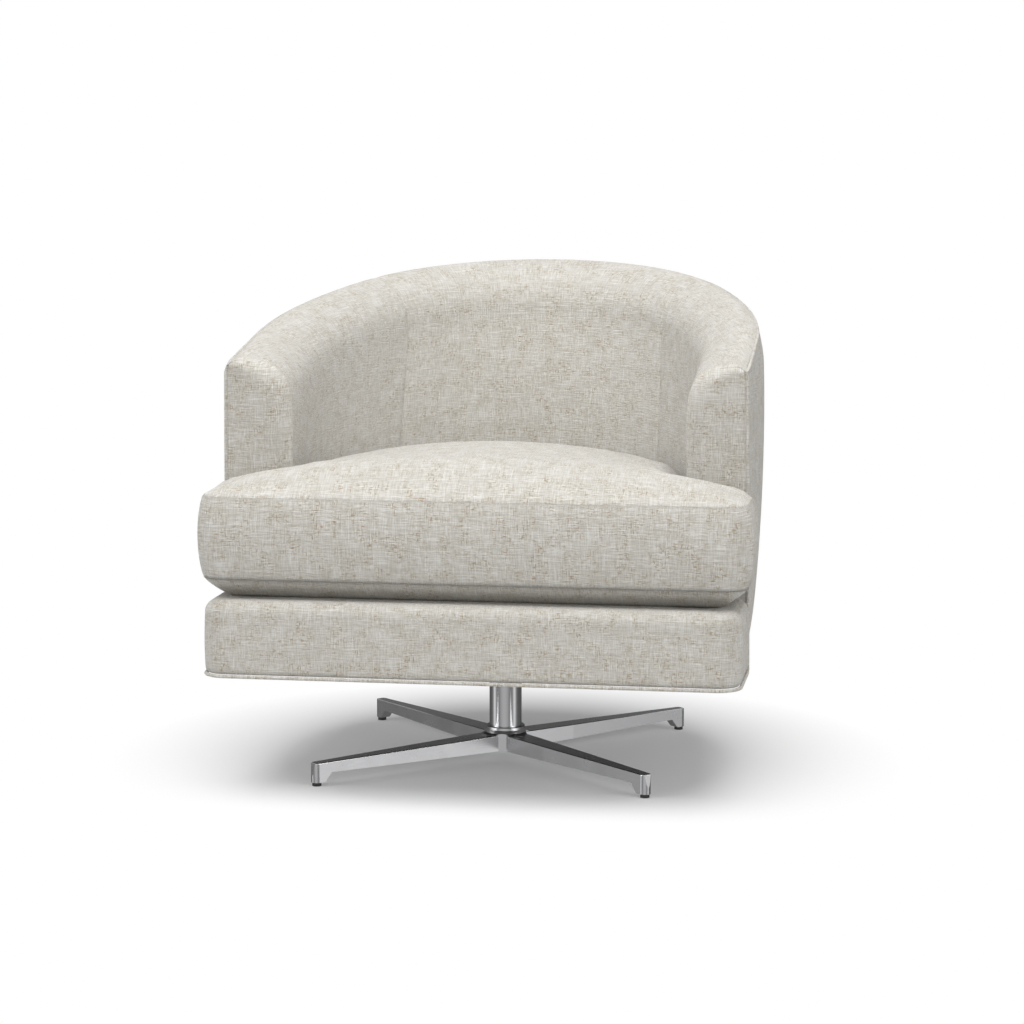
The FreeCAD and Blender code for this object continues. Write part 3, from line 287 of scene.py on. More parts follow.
def barrel_line(height, tilted, out, back, front_half, front, stops):
    """One line around the right half of the barrel: a straight stretch behind the arm front, a slack side arc and
    a tight back arc. It is level, or along the top in a plane that rises towards the back. A stop of 0 to 1 is on
    the straight stretch, 1 to 2 on the side arc, 2 to 3 on the back arc up to the inside seam, and 3 to 4 from
    there to the middle of the back."""
    lift = math.cos(rim_tilt) if tilted else 1.0
    side = body_half + out
    side_radius = side_arc + out
    back_radius = back_arc + out
    far_back = arm_front + (back - arm_front) / lift
    centre = far_back - back_radius
    knee_y = centre + back_radius * math.sin(side_turn)
    side_y = knee_y - side_radius * math.sin(side_turn)
    points = []
    for stop in stops:
        if stop <= 1:
            x = front_half + (side - front_half) * stop
            y = front + (side_y - front) * stop
        elif stop <= 2:
            angle = (stop - 1) * side_turn
            x = side - side_radius * (1 - math.cos(angle))
            y = side_y + side_radius * math.sin(angle)
        else:
            angle = np.interp(stop, (2, 3, 4), (side_turn, seam_turn, math.pi / 2))
            x = back_radius * math.cos(angle)
            y = centre + back_radius * math.sin(angle)
        if tilted:
            away = y - arm_front
            points.append((x, arm_front + away * lift, arm_height + height + away * math.sin(rim_tilt)))
        else:
            points.append((x, y, height))
    return np.array(points)


def mirrored(points):
    """The same points on the other side of the chair."""
    return points * np.array([-1.0, 1.0, 1.0])


def smooth_rows(rows, knots, at):
    """A smooth run of rows through a few given rows, by cubic curves from row to row."""
    knots = np.array(knots, float)
    count = len(knots)
    gaps = np.diff(knots)
    system = np.zeros((count, count))
    right = np.zeros((count,) + rows.shape[1:])
    system[0, 0] = system[-1, -1] = 1.0
    for n in range(1, count - 1):
        system[n, n - 1] = gaps[n - 1]
        system[n, n] = 2 * (gaps[n - 1] + gaps[n])
        system[n, n + 1] = gaps[n]
        right[n] = 6 * ((rows[n + 1] - rows[n]) / gaps[n] - (rows[n] - rows[n - 1]) / gaps[n - 1])
    bends = np.linalg.solve(system, right.reshape(count, -1)).reshape(right.shape)
    made = []
    for place in at:
        n = min(max(int(np.searchsorted(knots, place)) - 1, 0), count - 2)
        gap = gaps[n]
        a = (knots[n + 1] - place) / gap
        b = 1 - a
        made.append(a * rows[n] + b * rows[n + 1]
                    + ((a ** 3 - a) * bends[n] + (b ** 3 - b) * bends[n + 1]) * gap * gap / 6)
    return np.array(made)


def run_lengths(points, axis):
    """Lengths along the lines of a grid of points, measured from their start."""
    steps = np.linalg.norm(np.diff(points, axis=axis), axis=-1)
    pad = [(0, 0)] * steps.ndim
    pad[axis] = (1, 0)
    return np.cumsum(np.pad(steps, pad), axis=axis)


def quads_of(ids, flip=False):
    """The four-sided faces of a grid of point numbers."""
    quads = np.stack([ids[:-1, :-1], ids[:-1, 1:], ids[1:, 1:], ids[1:, :-1]], -1).reshape(-1, 4)
    return quads[:, ::-1] if flip else quads


def sewn_piece(name, vertices, quads, cuts, finish):
    """A smooth piece of cloth, whose corners carry their cut."""
    mesh = bpy.data.meshes.new(name)
    mesh.from_pydata(vertices.tolist(), [], quads.tolist())
    layer = mesh.uv_layers.new(name="cut")
    layer.data.foreach_set("uv", cuts.astype(np.float32).ravel())
    mesh.polygons.foreach_set("use_smooth", [True] * len(quads))
    mesh.materials.append(finish)
    piece = bpy.data.objects.new(name, mesh)
    bpy.context.scene.collection.objects.link(piece)
    return piece


def panel(name, points, cut_u, cut_v, finish=oatmeal_weave):
    """A panel from a grid of points. Each panel's cut starts at a place of its own on the cloth."""
    shape = points.shape[:2]
    quads = quads_of(np.arange(shape[0] * shape[1]).reshape(shape))
    cuts = np.stack([np.broadcast_to(cut_u, shape), np.broadcast_to(cut_v, shape)], -1).reshape(-1, 2)
    return sewn_piece(name, points.reshape(-1, 3), quads, cuts[quads.ravel()], finish)


def soften_corner(points):
    """Rounds the outer top corner of each arm, where the rim welt meets the arm welt."""
    behind = np.maximum(points[..., 1] - arm_front, 0.0)
    below = arm_height + rim_slope * behind - points[..., 2]
    near_top = np.clip(1 - below / corner_drop, 0, 1) ** 2
    near_front = np.clip(1 - behind / corner_run, 0, 1) ** 2
    pull = corner_pull * near_top * near_front
    moved = points.copy()
    moved[..., 0] -= np.sign(points[..., 0]) * pull
    moved[..., 2] -= 0.2 * pull
    return moved


cover_lines = ((body_underside, False, -0.010), (0.215, False, -0.0035), (0.2618, False, 0.0015),
               (0.36, False, 0.0075), (-0.055, True, 0.0085), (-0.022, True, 0.0055), (0.0, True, 0.0))
cover_knots = [0, 0.04, 0.09, 0.19, 0.42, 0.455, 0.475]
cover_stops = np.concatenate([np.linspace(0, 1, 10)[:-1], np.linspace(1, 2, 22)[:-1], np.linspace(2, 4, 26)])
cover_rows = []
for height, tilted, out in cover_lines:
    back = rim_back + out if tilted else raked_back(height, out)
    front_half = arm_half_width(arm_height + height if tilted else height)
    cover_rows.append(barrel_line(height, tilted, out, back, front_half, arm_front, cover_stops))
cover_rows = smooth_rows(np.array(cover_rows), cover_knots, np.linspace(0, cover_knots[-1], 40))
cover_points = np.concatenate([cover_rows, mirrored(cover_rows)[:, ::-1][:, 1:]], axis=1)
cover_points = soften_corner(cover_points[:, ::-1])
cover_u = run_lengths(cover_points, 1)[cover_cut_row]
outside_cover = panel("outside_cover_cloth", cover_points, cover_u[None, :], run_lengths(cover_points, 0))
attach(outside_cover, "seat")
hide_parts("outside_cover")


# Inside back and inside arms: three padded panels, sewn together along two upright seams, that rise from the deck,
# roll over the top of the frame and end at the rim welt.
wall_inset = 0.087
wall_foot = 0.262
wall_steps = 3
roll_drop = 0.060
deck_top = 0.278
deck_back = 0.270
seam_depth = 0.0028
seam_width = 0.0045
inside_cut_row = 20
# The roll's rows: height above the rim plane, and distance in from the outside.
roll_profile = [(-roll_drop, wall_inset), (-0.050, 0.086), (-0.033, 0.082), (-0.017, 0.073), (-0.007, 0.063),
                (0.0005, 0.049), (0.0060, 0.034), (0.0082, 0.022), (0.0062, 0.010), (0.0015, 0.0030)]
# How softly each of those rows turns into the arm front.
edge_softness = [0.036, 0.036, 0.035, 0.032, 0.029, 0.025, 0.020, 0.015, 0.011, 0.006]


def inner_back(height):
    """How far back the inside of the barrel is at a height."""
    wall_top = rim_back_height - roll_drop
    lean = (rim_back - wall_inset - deck_back) / (wall_top - deck_top)
    return rim_back - wall_inset - lean * (wall_top - height)


def inside_line(stops, number):
    """One row of the inside: the first few run up the wall, and the others over the roll."""
    if number < wall_steps:
        upper = inside_line(stops, wall_steps)
        lower = barrel_line(wall_foot, False, -wall_inset, inner_back(wall_foot), body_half - wall_inset,
                            arm_front + edge_softness[0], stops)
        return lower + (upper - lower) * number / wall_steps
    height, inset = roll_profile[number - wall_steps]
    return barrel_line(height, True, -inset, rim_back - inset, body_half - inset,
                       arm_front + edge_softness[number - wall_steps], stops)


def seam_stops(near, far, widest, length, fine=0.0010, growth=1.25):
    """Stops from a seam to the far end, close together beside the seam."""
    places = [0.0]
    step = fine
    while places[-1] + step < length:
        places.append(places[-1] + step)
        step = min(step * growth, widest)
    places.append(length)
    return near + (far - near) * np.array(places) / length


def pull_at_seam(points, from_seam):
    """Sinks the cloth beside a seam towards the frame, so that the two panels meet in a fine groove."""
    towards_frame = np.cross(np.gradient(points, axis=1), np.gradient(points, axis=0))
    towards_frame /= np.maximum(np.linalg.norm(towards_frame, axis=-1, keepdims=True), 1e-9)
    dip = seam_depth * np.exp(-np.abs(from_seam) / seam_width)
    return points + towards_frame * dip[..., None]


inside_knots = [0.0, 0.09, 0.18, 0.27, 0.281, 0.299, 0.318, 0.332, 0.348, 0.364, 0.376, 0.389, 0.398]
wall_run = inside_knots[wall_steps]
inside_at = np.concatenate([np.linspace(0, wall_run, 14)[:-1], np.linspace(wall_run, inside_knots[-1], 30)])
arm_stops = np.concatenate([np.linspace(0, 1, 9)[:-1], np.linspace(1, 2, 20)[:-1],
                            seam_stops(3, 2, widest=0.010, length=0.055)[::-1]])
back_stops = seam_stops(3, 4, widest=0.012, length=0.225)
row_numbers = range(len(inside_knots))
arm_rows = smooth_rows(np.array([inside_line(arm_stops, n) for n in row_numbers]), inside_knots, inside_at)
back_rows = smooth_rows(np.array([inside_line(back_stops, n) for n in row_numbers]), inside_knots, inside_at)
back_points = np.concatenate([back_rows, mirrored(back_rows)[:, ::-1][:, 1:]], axis=1)
arm_from_seam = run_lengths(arm_rows, 1)
arm_from_seam = arm_from_seam[:, -1:] - arm_from_seam
arm_points = pull_at_seam(arm_rows, arm_from_seam)
back_from_seam = run_lengths(back_points, 1)
back_from_seam = np.minimum(back_from_seam, back_from_seam[:, -1:] - back_from_seam)
back_points = pull_at_seam(back_points, back_from_seam)
back_u = run_lengths(back_points, 1)[inside_cut_row][None, :] + 3.0
inside_back = panel("inside_back_cloth", back_points, back_u, run_lengths(back_points, 0))
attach(inside_back, "seat")
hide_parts("inside_back_pad")
arm_u = -run_lengths(arm_points, 1)[inside_cut_row][None, :]
arm_v = run_lengths(arm_points, 0) + wall_foot
for side, points, shift in (("right", arm_points, 0.0), ("left", mirrored(arm_points), 6.0)):
    inside_arm = panel("inside_arm_cloth_" + side, points, arm_u + shift, arm_v + shift)
    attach(inside_arm, "seat")
    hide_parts("inside_arm_pad_" + side)


# Arm fronts: a flat padded panel on each arm, that wraps softly into the inside of the arm.
# Its top edge is a plain arched seam and its outer edge runs along the arm welt.
front_top = arm_height + 0.001
welt_margin = 0.0022
front_swell = 0.0012
welt_rise = 0.0014
welt_reach = 0.003
front_ends = arm_rows[:, 0]
softness = front_ends[:, 1] - arm_front
wall_top = int(np.argmin(np.abs(inside_at - wall_run)))
arch = run_lengths(front_ends[wall_top:], 0)
outer_z = np.concatenate([front_ends[:wall_top, 2],
                          front_ends[wall_top, 2] + (front_top - front_ends[wall_top, 2]) * arch / arch[-1]])
outer_x = arm_half_width(outer_z) - welt_margin
across_share = np.concatenate([np.linspace(0, 0.45, 16)[:-1], np.linspace(0.45, 1, 10)])
front_x = front_ends[:, :1] + (outer_x[:, None] - front_ends[:, :1]) * across_share
front_z = front_ends[:, 2:] + (outer_z[:, None] - front_ends[:, 2:]) * across_share
gaps = np.hypot(front_x[..., None] - front_ends[:, 0], front_z[..., None] - front_ends[:, 2])
soft = softness[gaps.argmin(axis=-1)]
inward = np.minimum(gaps.min(axis=-1) / soft, 1.0)
outer_gap = outer_x[:, None] - front_x
front_y = (arm_front + soft * (1 - np.sqrt(1 - (1 - inward) ** 2)) - front_swell * np.sin(math.pi * across_share)
           + welt_rise * np.exp(-outer_gap / welt_reach))
front_rows = np.stack([front_x, np.minimum(front_y, front_ends[:, 1:2]), front_z], -1)
front_rows += (soften_corner(front_rows) - front_rows) * across_share[None, :, None] ** 4
for side, points, shift in (("right", front_rows, 0.0), ("left", mirrored(front_rows), 6.0)):
    arm_front_panel = panel("arm_front_cloth_" + side, points, front_x + shift, points[..., 2] + shift)
    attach(arm_front_panel, "seat")
    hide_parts("arm_front_pad_" + side)


# Front border: a padded strip across the front under the cushion, rolled over the top of the front rail.
# It turns both front corners and ends at the arm welts.
border_front = -0.342
border_half = 0.373
border_corner = 0.0345
border_roll = 0.018
border_rise = 0.0832
border_swell = 0.0012
border_cut_row = 4


def border_line(inset, height):
    """One level line around the front, from one arm welt to the other."""
    radius = max(border_corner - inset, 0.004)
    half = border_half - inset
    front = border_front + inset
    right = [(half, y) for y in np.linspace(arm_front, front + radius, 9)[:-1]]
    for angle in np.linspace(0, math.pi / 2, 12):
        right.append((half - radius + radius * math.cos(angle), front + radius - radius * math.sin(angle)))
    right += [(x, front) for x in np.linspace(half - radius, 0, 22)[1:]]
    left = [(-x, y) for x, y in reversed(right[:-1])]
    return np.array([(x, y, height) for x, y in right + left])


border_rows = []
for inset, rise in ((0.0042, 0.0), (0.0016, 0.0030)):
    border_rows.append(border_line(inset, body_underside + rise))
for share in np.linspace(0, 1, 12)[1:-1]:
    border_rows.append(border_line(border_swell * (1 - math.sin(math.pi * share)),
                                   body_underside + (border_rise * share)))
for angle in np.linspace(0, math.pi / 2, 12):
    border_rows.append(border_line(border_swell + border_roll * (1 - math.cos(angle)),
                                   deck_top - border_roll + border_roll * math.sin(angle)))
for inset, drop in ((0.022, 0.0), (0.030, 0.0), (0.045, 0.001), (0.0925, 0.001)):
    border_rows.append(border_line(inset, deck_top - drop))
border_points = np.array(border_rows)[:, ::-1]
border_u = run_lengths(border_points, 1)[border_cut_row][None, :] + 9.0
front_border = panel("front_border_cloth", border_points, border_u, run_lengths(border_points, 0) + 9.0)
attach(front_border, "seat")
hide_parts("front_border")


# Deck: the flat padded top of the seat box, covered in plain cloth, that the loose cushion lies on.
# It is one panel, tucked in along the border, the inside arms and the inside back.
deck_tuck = 0.0015
deck_tuck_share = 0.03
deck_cloth, tree, surface = new_finish("deck_cloth")
place = put(tree, "ShaderNodeTexCoord").outputs["Object"]
deck_tone = sums(tree, "ADD", grains(tree, place, 260.0, 3.0),
                 sums(tree, "MULTIPLY", grains(tree, place, 1400.0), 0.5))
deck_colour = blend_colours(tree, spread(tree, deck_tone, 0.5, 1.0), (0.46, 0.44, 0.40), (0.60, 0.58, 0.54))
tree.links.new(deck_colour, surface.inputs["Base Color"])
deck_bump = put(tree, "ShaderNodeBump", {"Height": deck_tone, "Strength": 0.4, "Distance": 0.0005})
tree.links.new(deck_bump.outputs[0], surface.inputs["Normal"])
surface.inputs["Roughness"].default_value = 0.95
deck_stops = np.concatenate([np.linspace(0, 1, 9)[:-1], np.linspace(1, 2, 16)[:-1], np.linspace(2, 4, 18)])
deck_edge = barrel_line(deck_top, False, -wall_inset, deck_back, body_half - wall_inset, arm_front - 0.09,
                        deck_stops)
deck_edge = np.concatenate([deck_edge, mirrored(deck_edge)[::-1][1:]])
deck_half, deck_front = deck_edge[0, :2]
front_stretch = np.array([(x, deck_front, deck_top) for x in np.linspace(-deck_half, deck_half, 24)])
deck_loop = np.concatenate([deck_edge, front_stretch[1:]])
deck_rows = []
for share in (0.0, 0.02, 0.05, 0.1, 0.2, 0.4, 0.7, 0.9995):
    shrunk = deck_loop * (1 - share) + np.array([0.0, 0.0, deck_top]) * share
    shrunk[:, 2] = deck_top - deck_tuck * math.exp(-share / deck_tuck_share)
    deck_rows.append(shrunk)
deck_points = np.array(deck_rows)
deck = panel("deck_cloth_panel", deck_points, deck_points[..., 0], deck_points[..., 1], deck_cloth)
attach(deck, "seat")
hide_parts("deck_pad")


# Welts: thin cords wrapped in the same cloth, sewn into the seams around the rim, down the outer edge of each arm
# front and around the bottom.
welt_radius = 0.0026
welt_inset = 0.0016
bottom_tuck = 0.0116


def welt(name, path, node, shift):
    """A round cord along a path, with its cloth wrapped once around it."""
    path = soften_corner(np.array(path))
    forward = np.gradient(path, axis=0)
    forward /= np.linalg.norm(forward, axis=1, keepdims=True)
    upright = abs(forward[len(path) // 2, 2]) >= 0.9
    across = np.cross(forward, np.array([0.0, 1.0, 0.0] if upright else [0.0, 0.0, 1.0]))
    across /= np.linalg.norm(across, axis=1, keepdims=True)
    over = np.cross(across, forward)
    rounds = np.linspace(0, 2 * math.pi, 13)
    points = (path[:, None] + welt_radius * (np.cos(rounds)[None, :, None] * across[:, None]
                                             + np.sin(rounds)[None, :, None] * over[:, None]))
    made = panel(name, points, (rounds * welt_radius)[None, :] + shift, run_lengths(path, 0)[:, None] + shift)
    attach(made, "seat")
    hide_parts(node)


rim_stops = np.concatenate([np.linspace(0, 1, 24)[:-1], np.linspace(1, 2, 50)[:-1], np.linspace(2, 4, 60)])
rim_half = barrel_line(0.0, True, -welt_inset, rim_back - welt_inset, arm_half_top - welt_inset,
                       arm_front + 0.001, rim_stops)
welt("rim_welt_cord", np.concatenate([rim_half, mirrored(rim_half)[::-1][1:]]), "rim_welt", 12.0)
bottom_level = body_underside - welt_radius
bottom_half = barrel_line(bottom_level, False, -bottom_tuck, raked_back(body_underside, -bottom_tuck),
                          border_half - welt_inset, arm_front, rim_stops)
bottom_front = border_line(welt_inset, bottom_level)
bottom_path = np.concatenate([bottom_half[::-1], bottom_front[1:], mirrored(bottom_half)[1:-1]])
welt("bottom_welt_cord", np.concatenate([bottom_path, bottom_path[:1]]), "bottom_welt", 15.0)
for side, sign in (("right", 1), ("left", -1)):
    arm_path = [(sign * (arm_half_width(height) - welt_inset), arm_front + welt_inset, height)
                for height in np.linspace(body_underside, front_top, 90)]
    welt("arm_welt_cord_" + side, arm_path, "arm_welt_" + side, 18.0 + sign)


# Loose seat cushion: a crowned T-shaped cushion with ears in front of the arms, made of two panels and a boxing
# strip with plain seams, filled with foam in a soft wrap.
cushion_half = 0.278
cushion_front = -0.328
cushion_gap = 0.0025
cushion_follow = 0.8
ear_half = 0.386
ear_back = -0.202
ear_corner = 0.030
seam_inset = 0.009
top_seam = 0.4200
low_seam = 0.3063
cushion_rest = 0.2786
crown_height = 0.0533
over_core = 0.0115
ear_rows = 22
ear_columns = 18
body_rows = 63
body_columns = 73


def cushion_back(inset, height):
    """How far back the cushion is at a height: it follows most of the lean of the inside back."""
    rise = (height - deck_top) / (rim_back_height - roll_drop - deck_top)
    lean = cushion_follow * (rim_back - wall_inset - deck_back) * max(rise, 0.0)
    return deck_back + lean - cushion_gap - inset


def cushion_body_half(y, inset, height):
    """Half the width of the cushion between the arms, at a depth."""
    out = -wall_inset - cushion_gap - inset
    side = body_half + out
    side_radius = side_arc + out
    back_radius = back_arc + out
    centre = cushion_back(inset, height) - back_radius
    knee_y = centre + back_radius * math.sin(side_turn)
    side_y = knee_y - side_radius * math.sin(side_turn)
    if y <= side_y:
        return side
    if y <= knee_y:
        return side - side_radius + math.sqrt(side_radius ** 2 - (y - side_y) ** 2)
    return math.sqrt(max(back_radius ** 2 - (y - centre) ** 2, 0.0))


def cushion_grid(inset, height):
    """Points of the cushion's plan: the body, and the right ear that shares an edge with it."""
    front = cushion_front + inset
    notch = ear_back - inset
    inner = cushion_half - inset
    outer = ear_half - inset
    turns = np.linspace(0, math.pi / 2, body_rows + 1)[1:]
    back_stretch = notch + (cushion_back(inset, height) - 0.0015 - notch) * np.sin(turns)
    across = np.sin(np.linspace(-math.pi / 2, math.pi / 2, body_columns))
    across = 0.75 * np.linspace(-1, 1, body_columns) + 0.25 * across
    body = np.array([[(share * cushion_body_half(y, inset, height), y, height) for share in across]
                     for y in np.concatenate([np.linspace(front, notch, ear_rows), back_stretch])])
    ear = []
    ear_x = inner + (outer - inner) * np.sin(np.linspace(0, math.pi / 2, ear_columns))
    for y_share in np.linspace(0, 1, ear_rows):
        row = []
        for x in ear_x:
            past = max(0.0, x - (outer - ear_corner))
            low = front + ear_corner - math.sqrt(max(ear_corner ** 2 - past ** 2, 0.0))
            row.append((x, low + (notch - low) * y_share, height))
        ear.append(row)
    return body, np.array(ear)


body_plan, ear_plan = cushion_grid(seam_inset, top_seam)
plan = [tuple(point) for point in body_plan.reshape(-1, 3)]
body_ids = np.arange(len(plan)).reshape(body_plan.shape[:2])
right_ids = np.zeros((ear_rows, ear_columns), int)
left_ids = np.zeros((ear_rows, ear_columns), int)
right_ids[:, 0] = body_ids[:ear_rows, -1]
left_ids[:, 0] = body_ids[:ear_rows, 0]
for n in range(ear_rows):
    for m in range(1, ear_columns):
        x, y, height = ear_plan[n, m]
        right_ids[n, m] = len(plan)
        left_ids[n, m] = len(plan) + 1
        plan += [(x, y, height), (-x, y, height)]
plan = np.array(plan)
plan_quads = np.concatenate([quads_of(body_ids), quads_of(right_ids), quads_of(left_ids, True)])
edge_loop = np.concatenate([left_ids[0, ::-1], body_ids[0, 1:], right_ids[0, 1:], right_ids[1:, -1],
                            right_ids[-1, ::-1][1:], body_ids[ear_rows:, -1], body_ids[-1, ::-1][1:],
                            body_ids[ear_rows - 1:-1, 0][::-1], left_ids[-1, 1:], left_ids[1:-1, -1][::-1]])
edge = plan[edge_loop]
all_round = np.ones(len(edge), bool)
on_front = edge[:, 1] < cushion_front + seam_inset + ear_corner - 0.001
on_back = edge[:, 1] > 0.045
on_side = (np.abs(edge[:, 0]) > cushion_half + 0.05) & ~on_front


def away_from(part):
    """Distance of every point of the plan from a part of the edge."""
    return np.array([np.linalg.norm(edge[part, :2] - point, axis=1).min() for point in plan[:, :2]])


def edge_roll(part, width):
    """Rises from 0 at a part of the edge to 1 at a given distance from it."""
    return 1 - (1 - np.minimum(away_from(part) / width, 1.0)) ** 2


# The crown falls off to the sides, less over the ears than behind the notches, and towards the front and the back.
# It always covers the foam core.
notch_start = -0.22
notch_run = 0.10
ridge = -0.045
front_run = 0.082
seam_run = 0.030
ear_run = 0.012
back_run = 0.128
low_run = 0.036
ear_reach = 0.378
body_reach = 0.360
front_flat = -0.05
front_slope = 0.05
back_slope = 3.6
back_ease = 0.03
past_notch = np.clip((plan[:, 1] - notch_start) / notch_run, 0.0, 1.0)
past_notch = past_notch ** 2 * (3 - 2 * past_notch)
ear_fall = np.maximum(1 - (plan[:, 0] / ear_reach) ** 2, 0.0) ** 0.58
body_fall = np.maximum(1 - (plan[:, 0] / body_reach) ** 2, 0.0) ** 1.15
side_fall = ear_fall + (body_fall - ear_fall) * past_notch
front_fall = 1 - front_slope * (np.maximum(front_flat - plan[:, 1], 0.0) / 0.27) ** 1.5
past_ridge = np.maximum(plan[:, 1] - ridge, 0.0)
back_fall = 1.0 - back_slope * past_ridge ** 2 / (past_ridge + back_ease)
crown = (crown_height * edge_roll(on_front, front_run) * edge_roll(~on_front & ~on_side, seam_run)
         * edge_roll(on_side, ear_run) * edge_roll(on_back, back_run) * side_fall * front_fall * back_fall)
core_cover = over_core * edge_roll(all_round, seam_run)
top_points = plan.copy()
top_points[:, 2] = top_seam + (crown + core_cover
                               + np.sqrt((crown - core_cover) ** 2 + (0.2 * core_cover) ** 2)) / 2
low_points = plan.copy()
low_fall = np.minimum(1.0, away_from(all_round) / low_run) ** 0.75
low_points[:, 2] = low_seam - (low_seam - cushion_rest) * low_fall

# The boxing strip bulges outward between its two seams, and dips into a fine groove at both.
ahead = np.roll(edge, -1, axis=0) - np.roll(edge, 1, axis=0)
outward = np.stack([ahead[:, 1], -ahead[:, 0], np.zeros(len(edge))], -1)
outward /= np.linalg.norm(outward, axis=1, keepdims=True)
for step in range(3):
    outward = (np.roll(outward, 1, axis=0) + 2 * outward + np.roll(outward, -1, axis=0)) / 4
    outward /= np.linalg.norm(outward, axis=1, keepdims=True)
boxing_drop = top_seam - low_seam
boxing_profile = [(0.0, 0.0003), (0.0012, 0.0011)]
for share in np.linspace(0.035, 0.965, 16):
    boxing_profile.append((seam_inset * math.sin(math.pi * share) ** 0.6, boxing_drop * share))
boxing_profile += [(0.0013, boxing_drop - 0.0014), (0.0, boxing_drop - 0.0003), (0.0009, boxing_drop + 0.0006)]
boxing_rows = []
for bulge, drop in boxing_profile:
    row = edge + outward * bulge
    row[:, 2] = top_seam - drop
    boxing_rows.append(row)
vertices = np.concatenate([top_points, low_points] + boxing_rows)
boxing_ids = 2 * len(plan) + np.arange(len(boxing_rows) * len(edge)).reshape(len(boxing_rows), len(edge))
loops = np.concatenate([[edge_loop], boxing_ids, [len(plan) + edge_loop]])
boxing_quads = quads_of(np.concatenate([loops, loops[:, :1]], axis=1), True)
low_quads = (plan_quads + len(plan))[:, ::-1]
around = np.concatenate([[0.0], np.cumsum(np.linalg.norm(np.roll(edge, -1, axis=0) - edge, axis=1))])
down = np.linspace(0, boxing_drop + 0.006, len(loops))
boxing_cut = np.stack(np.broadcast_arrays(around[None, :] + 21.0, 21.0 - down[:, None]), -1)
cut_ids = np.arange(boxing_cut.shape[0] * boxing_cut.shape[1]).reshape(boxing_cut.shape[:2])
boxing_uv = boxing_cut.reshape(-1, 2)[quads_of(cut_ids, True).ravel()]
top_uv = vertices[plan_quads.ravel(), :2] + 24.0
low_uv = vertices[low_quads.ravel(), :2] + 27.0
cushion = sewn_piece("seat_cushion", vertices, np.concatenate([plan_quads, low_quads, boxing_quads]),
                     np.concatenate([top_uv, low_uv, boxing_uv]), oatmeal_weave)
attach(cushion, "cushion")
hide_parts("cushion_cover")


# Star base: one casting with four arms, satin polished, with a fine grain from the polishing.
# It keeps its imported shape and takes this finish.
casting_grain = (60.0, 60.0, 900.0)
satin_aluminium, tree, surface = new_finish("satin_aluminium")
place = put(tree, "ShaderNodeTexCoord").outputs["Object"]
brush = put(tree, "ShaderNodeVectorMath", {0: place, 1: casting_grain}, operation="MULTIPLY").outputs[0]
brush_tone = grains(tree, brush, 1.0, 3.0)
cloud = grains(tree, place, 30.0, 2.0)
casting_colour = blend_colours(tree, brush_tone, (0.58, 0.58, 0.59), (0.66, 0.66, 0.67))
tree.links.new(casting_colour, surface.inputs["Base Color"])
tree.links.new(spread(tree, cloud, 0.3, 0.7, 0.22, 0.28), surface.inputs["Roughness"])
metal_bump = put(tree, "ShaderNodeBump", {"Height": brush_tone, "Strength": 0.02, "Distance": 0.0002})
tree.links.new(metal_bump.outputs[0], surface.inputs["Normal"])
surface.inputs["Metallic"].default_value = 1.0


# Column, spindle and fasteners: turned steel, polished, with faint turning marks around it.
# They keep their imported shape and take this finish.
turning_grain = (40.0, 40.0, 1500.0)
polished_steel, tree, surface = new_finish("polished_steel")
place = put(tree, "ShaderNodeTexCoord").outputs["Object"]
brush = put(tree, "ShaderNodeVectorMath", {0: place, 1: turning_grain}, operation="MULTIPLY").outputs[0]
turned_tone = grains(tree, brush, 1.0, 2.0)
steel_colour = blend_colours(tree, turned_tone, (0.54, 0.54, 0.55), (0.62, 0.62, 0.63))
tree.links.new(steel_colour, surface.inputs["Base Color"])
tree.links.new(spread(tree, turned_tone, 0.3, 0.7, 0.12, 0.2), surface.inputs["Roughness"])
surface.inputs["Metallic"].default_value = 1.0


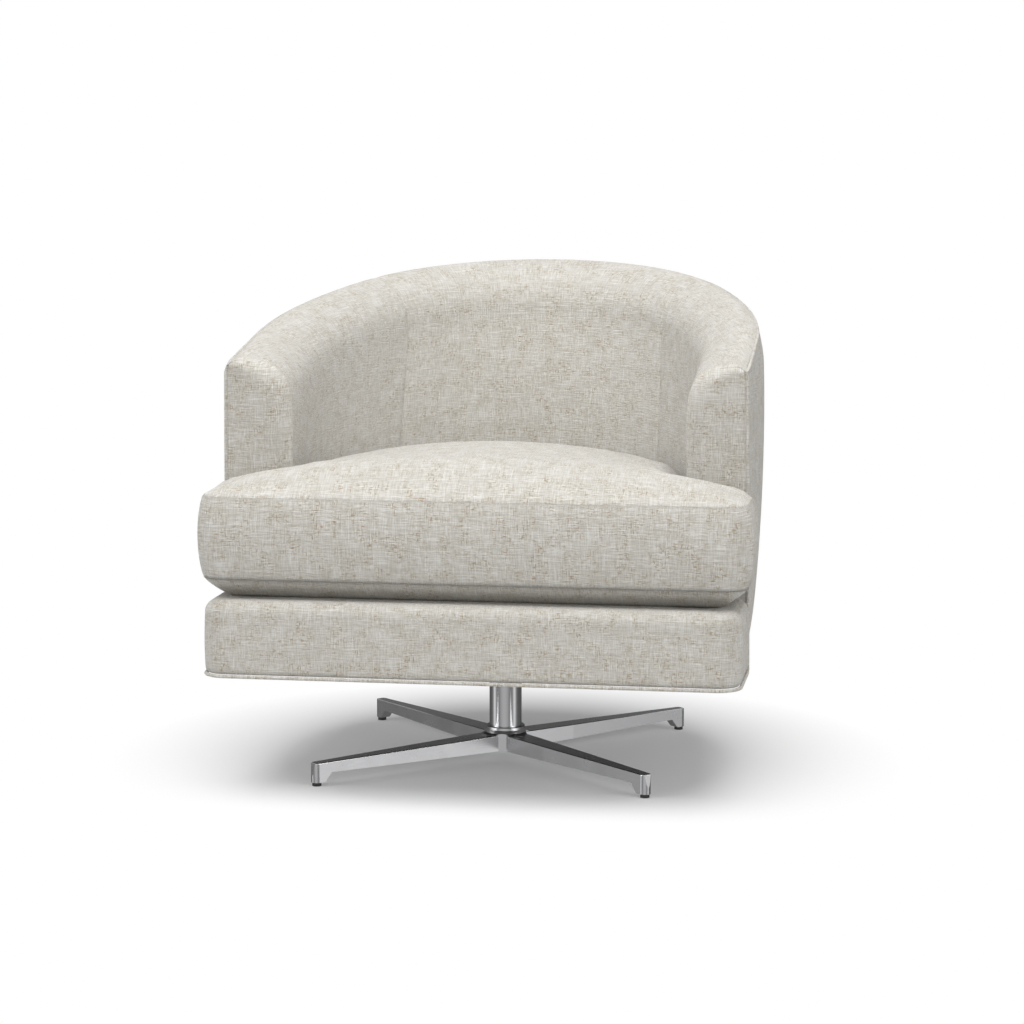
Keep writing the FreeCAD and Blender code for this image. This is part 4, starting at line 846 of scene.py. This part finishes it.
# Frame, foam core, webbing, liners, dust cover, swivel plate, glides and bearings: wood, board, cloth, coated steel
# and moulded parts, mostly hidden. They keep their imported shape, and each slot of the record gets its own finish.
def speckled(name, dark, pale, scale, roughness, distance, stretch=(1.0, 1.0, 1.0)):
    """A finish with a fine grain between two colours, and with a relief of the same grain."""
    made, tree, surface = new_finish(name)
    place = put(tree, "ShaderNodeTexCoord").outputs["Object"]
    place = put(tree, "ShaderNodeVectorMath", {0: place, 1: stretch}, operation="MULTIPLY").outputs[0]
    grain = grains(tree, place, scale, 4.0, 0.6)
    colour = blend_colours(tree, spread(tree, grain, 0.35, 0.65), dark, pale)
    tree.links.new(colour, surface.inputs["Base Color"])
    relief = put(tree, "ShaderNodeBump", {"Height": grain, "Strength": 0.4, "Distance": distance})
    tree.links.new(relief.outputs[0], surface.inputs["Normal"])
    surface.inputs["Roughness"].default_value = roughness
    return made


finishes = {
    "foam": speckled("cushion_foam", (0.74, 0.71, 0.58), (0.88, 0.86, 0.76), 700.0, 0.95, 0.0006),
    "dust_cloth": speckled("dust_cloth", (0.018, 0.018, 0.019), (0.040, 0.040, 0.042), 900.0, 0.9, 0.0003),
    "webbing": speckled("elastic_webbing", (0.20, 0.16, 0.10), (0.40, 0.33, 0.22), 500.0, 0.9, 0.0004),
    "liner_board": speckled("fibre_board", (0.30, 0.21, 0.12), (0.50, 0.37, 0.23), 300.0, 0.85, 0.0003),
    "frame_wood": speckled("bare_plywood", (0.45, 0.31, 0.17), (0.70, 0.53, 0.33), 60.0, 0.7, 0.0004, (1, 6, 6)),
    "brushed_aluminium": satin_aluminium,
    "polished_steel": polished_steel,
    "black_steel": speckled("black_powder_coat", (0.022, 0.022, 0.024), (0.040, 0.040, 0.043), 1500.0, 0.5,
                            0.0002),
    "black_rubber": speckled("black_glide", (0.012, 0.012, 0.012), (0.028, 0.028, 0.028), 800.0, 0.55, 0.0002),
    "bearing_plastic": speckled("bearing_plastic", (0.72, 0.71, 0.66), (0.82, 0.81, 0.76), 200.0, 0.4, 0.0001),
    "upholstery": oatmeal_weave,
    "deck_cloth": deck_cloth,
}
for part in frame["record"]["subparts"]:
    node = frame["nodes"][part["node"]]
    finish = finishes[part["material_slot"]]
    if node.data.materials:
        for place in range(len(node.material_slots)):
            node.material_slots[place].material = finish
    else:
        node.data.materials.append(finish)
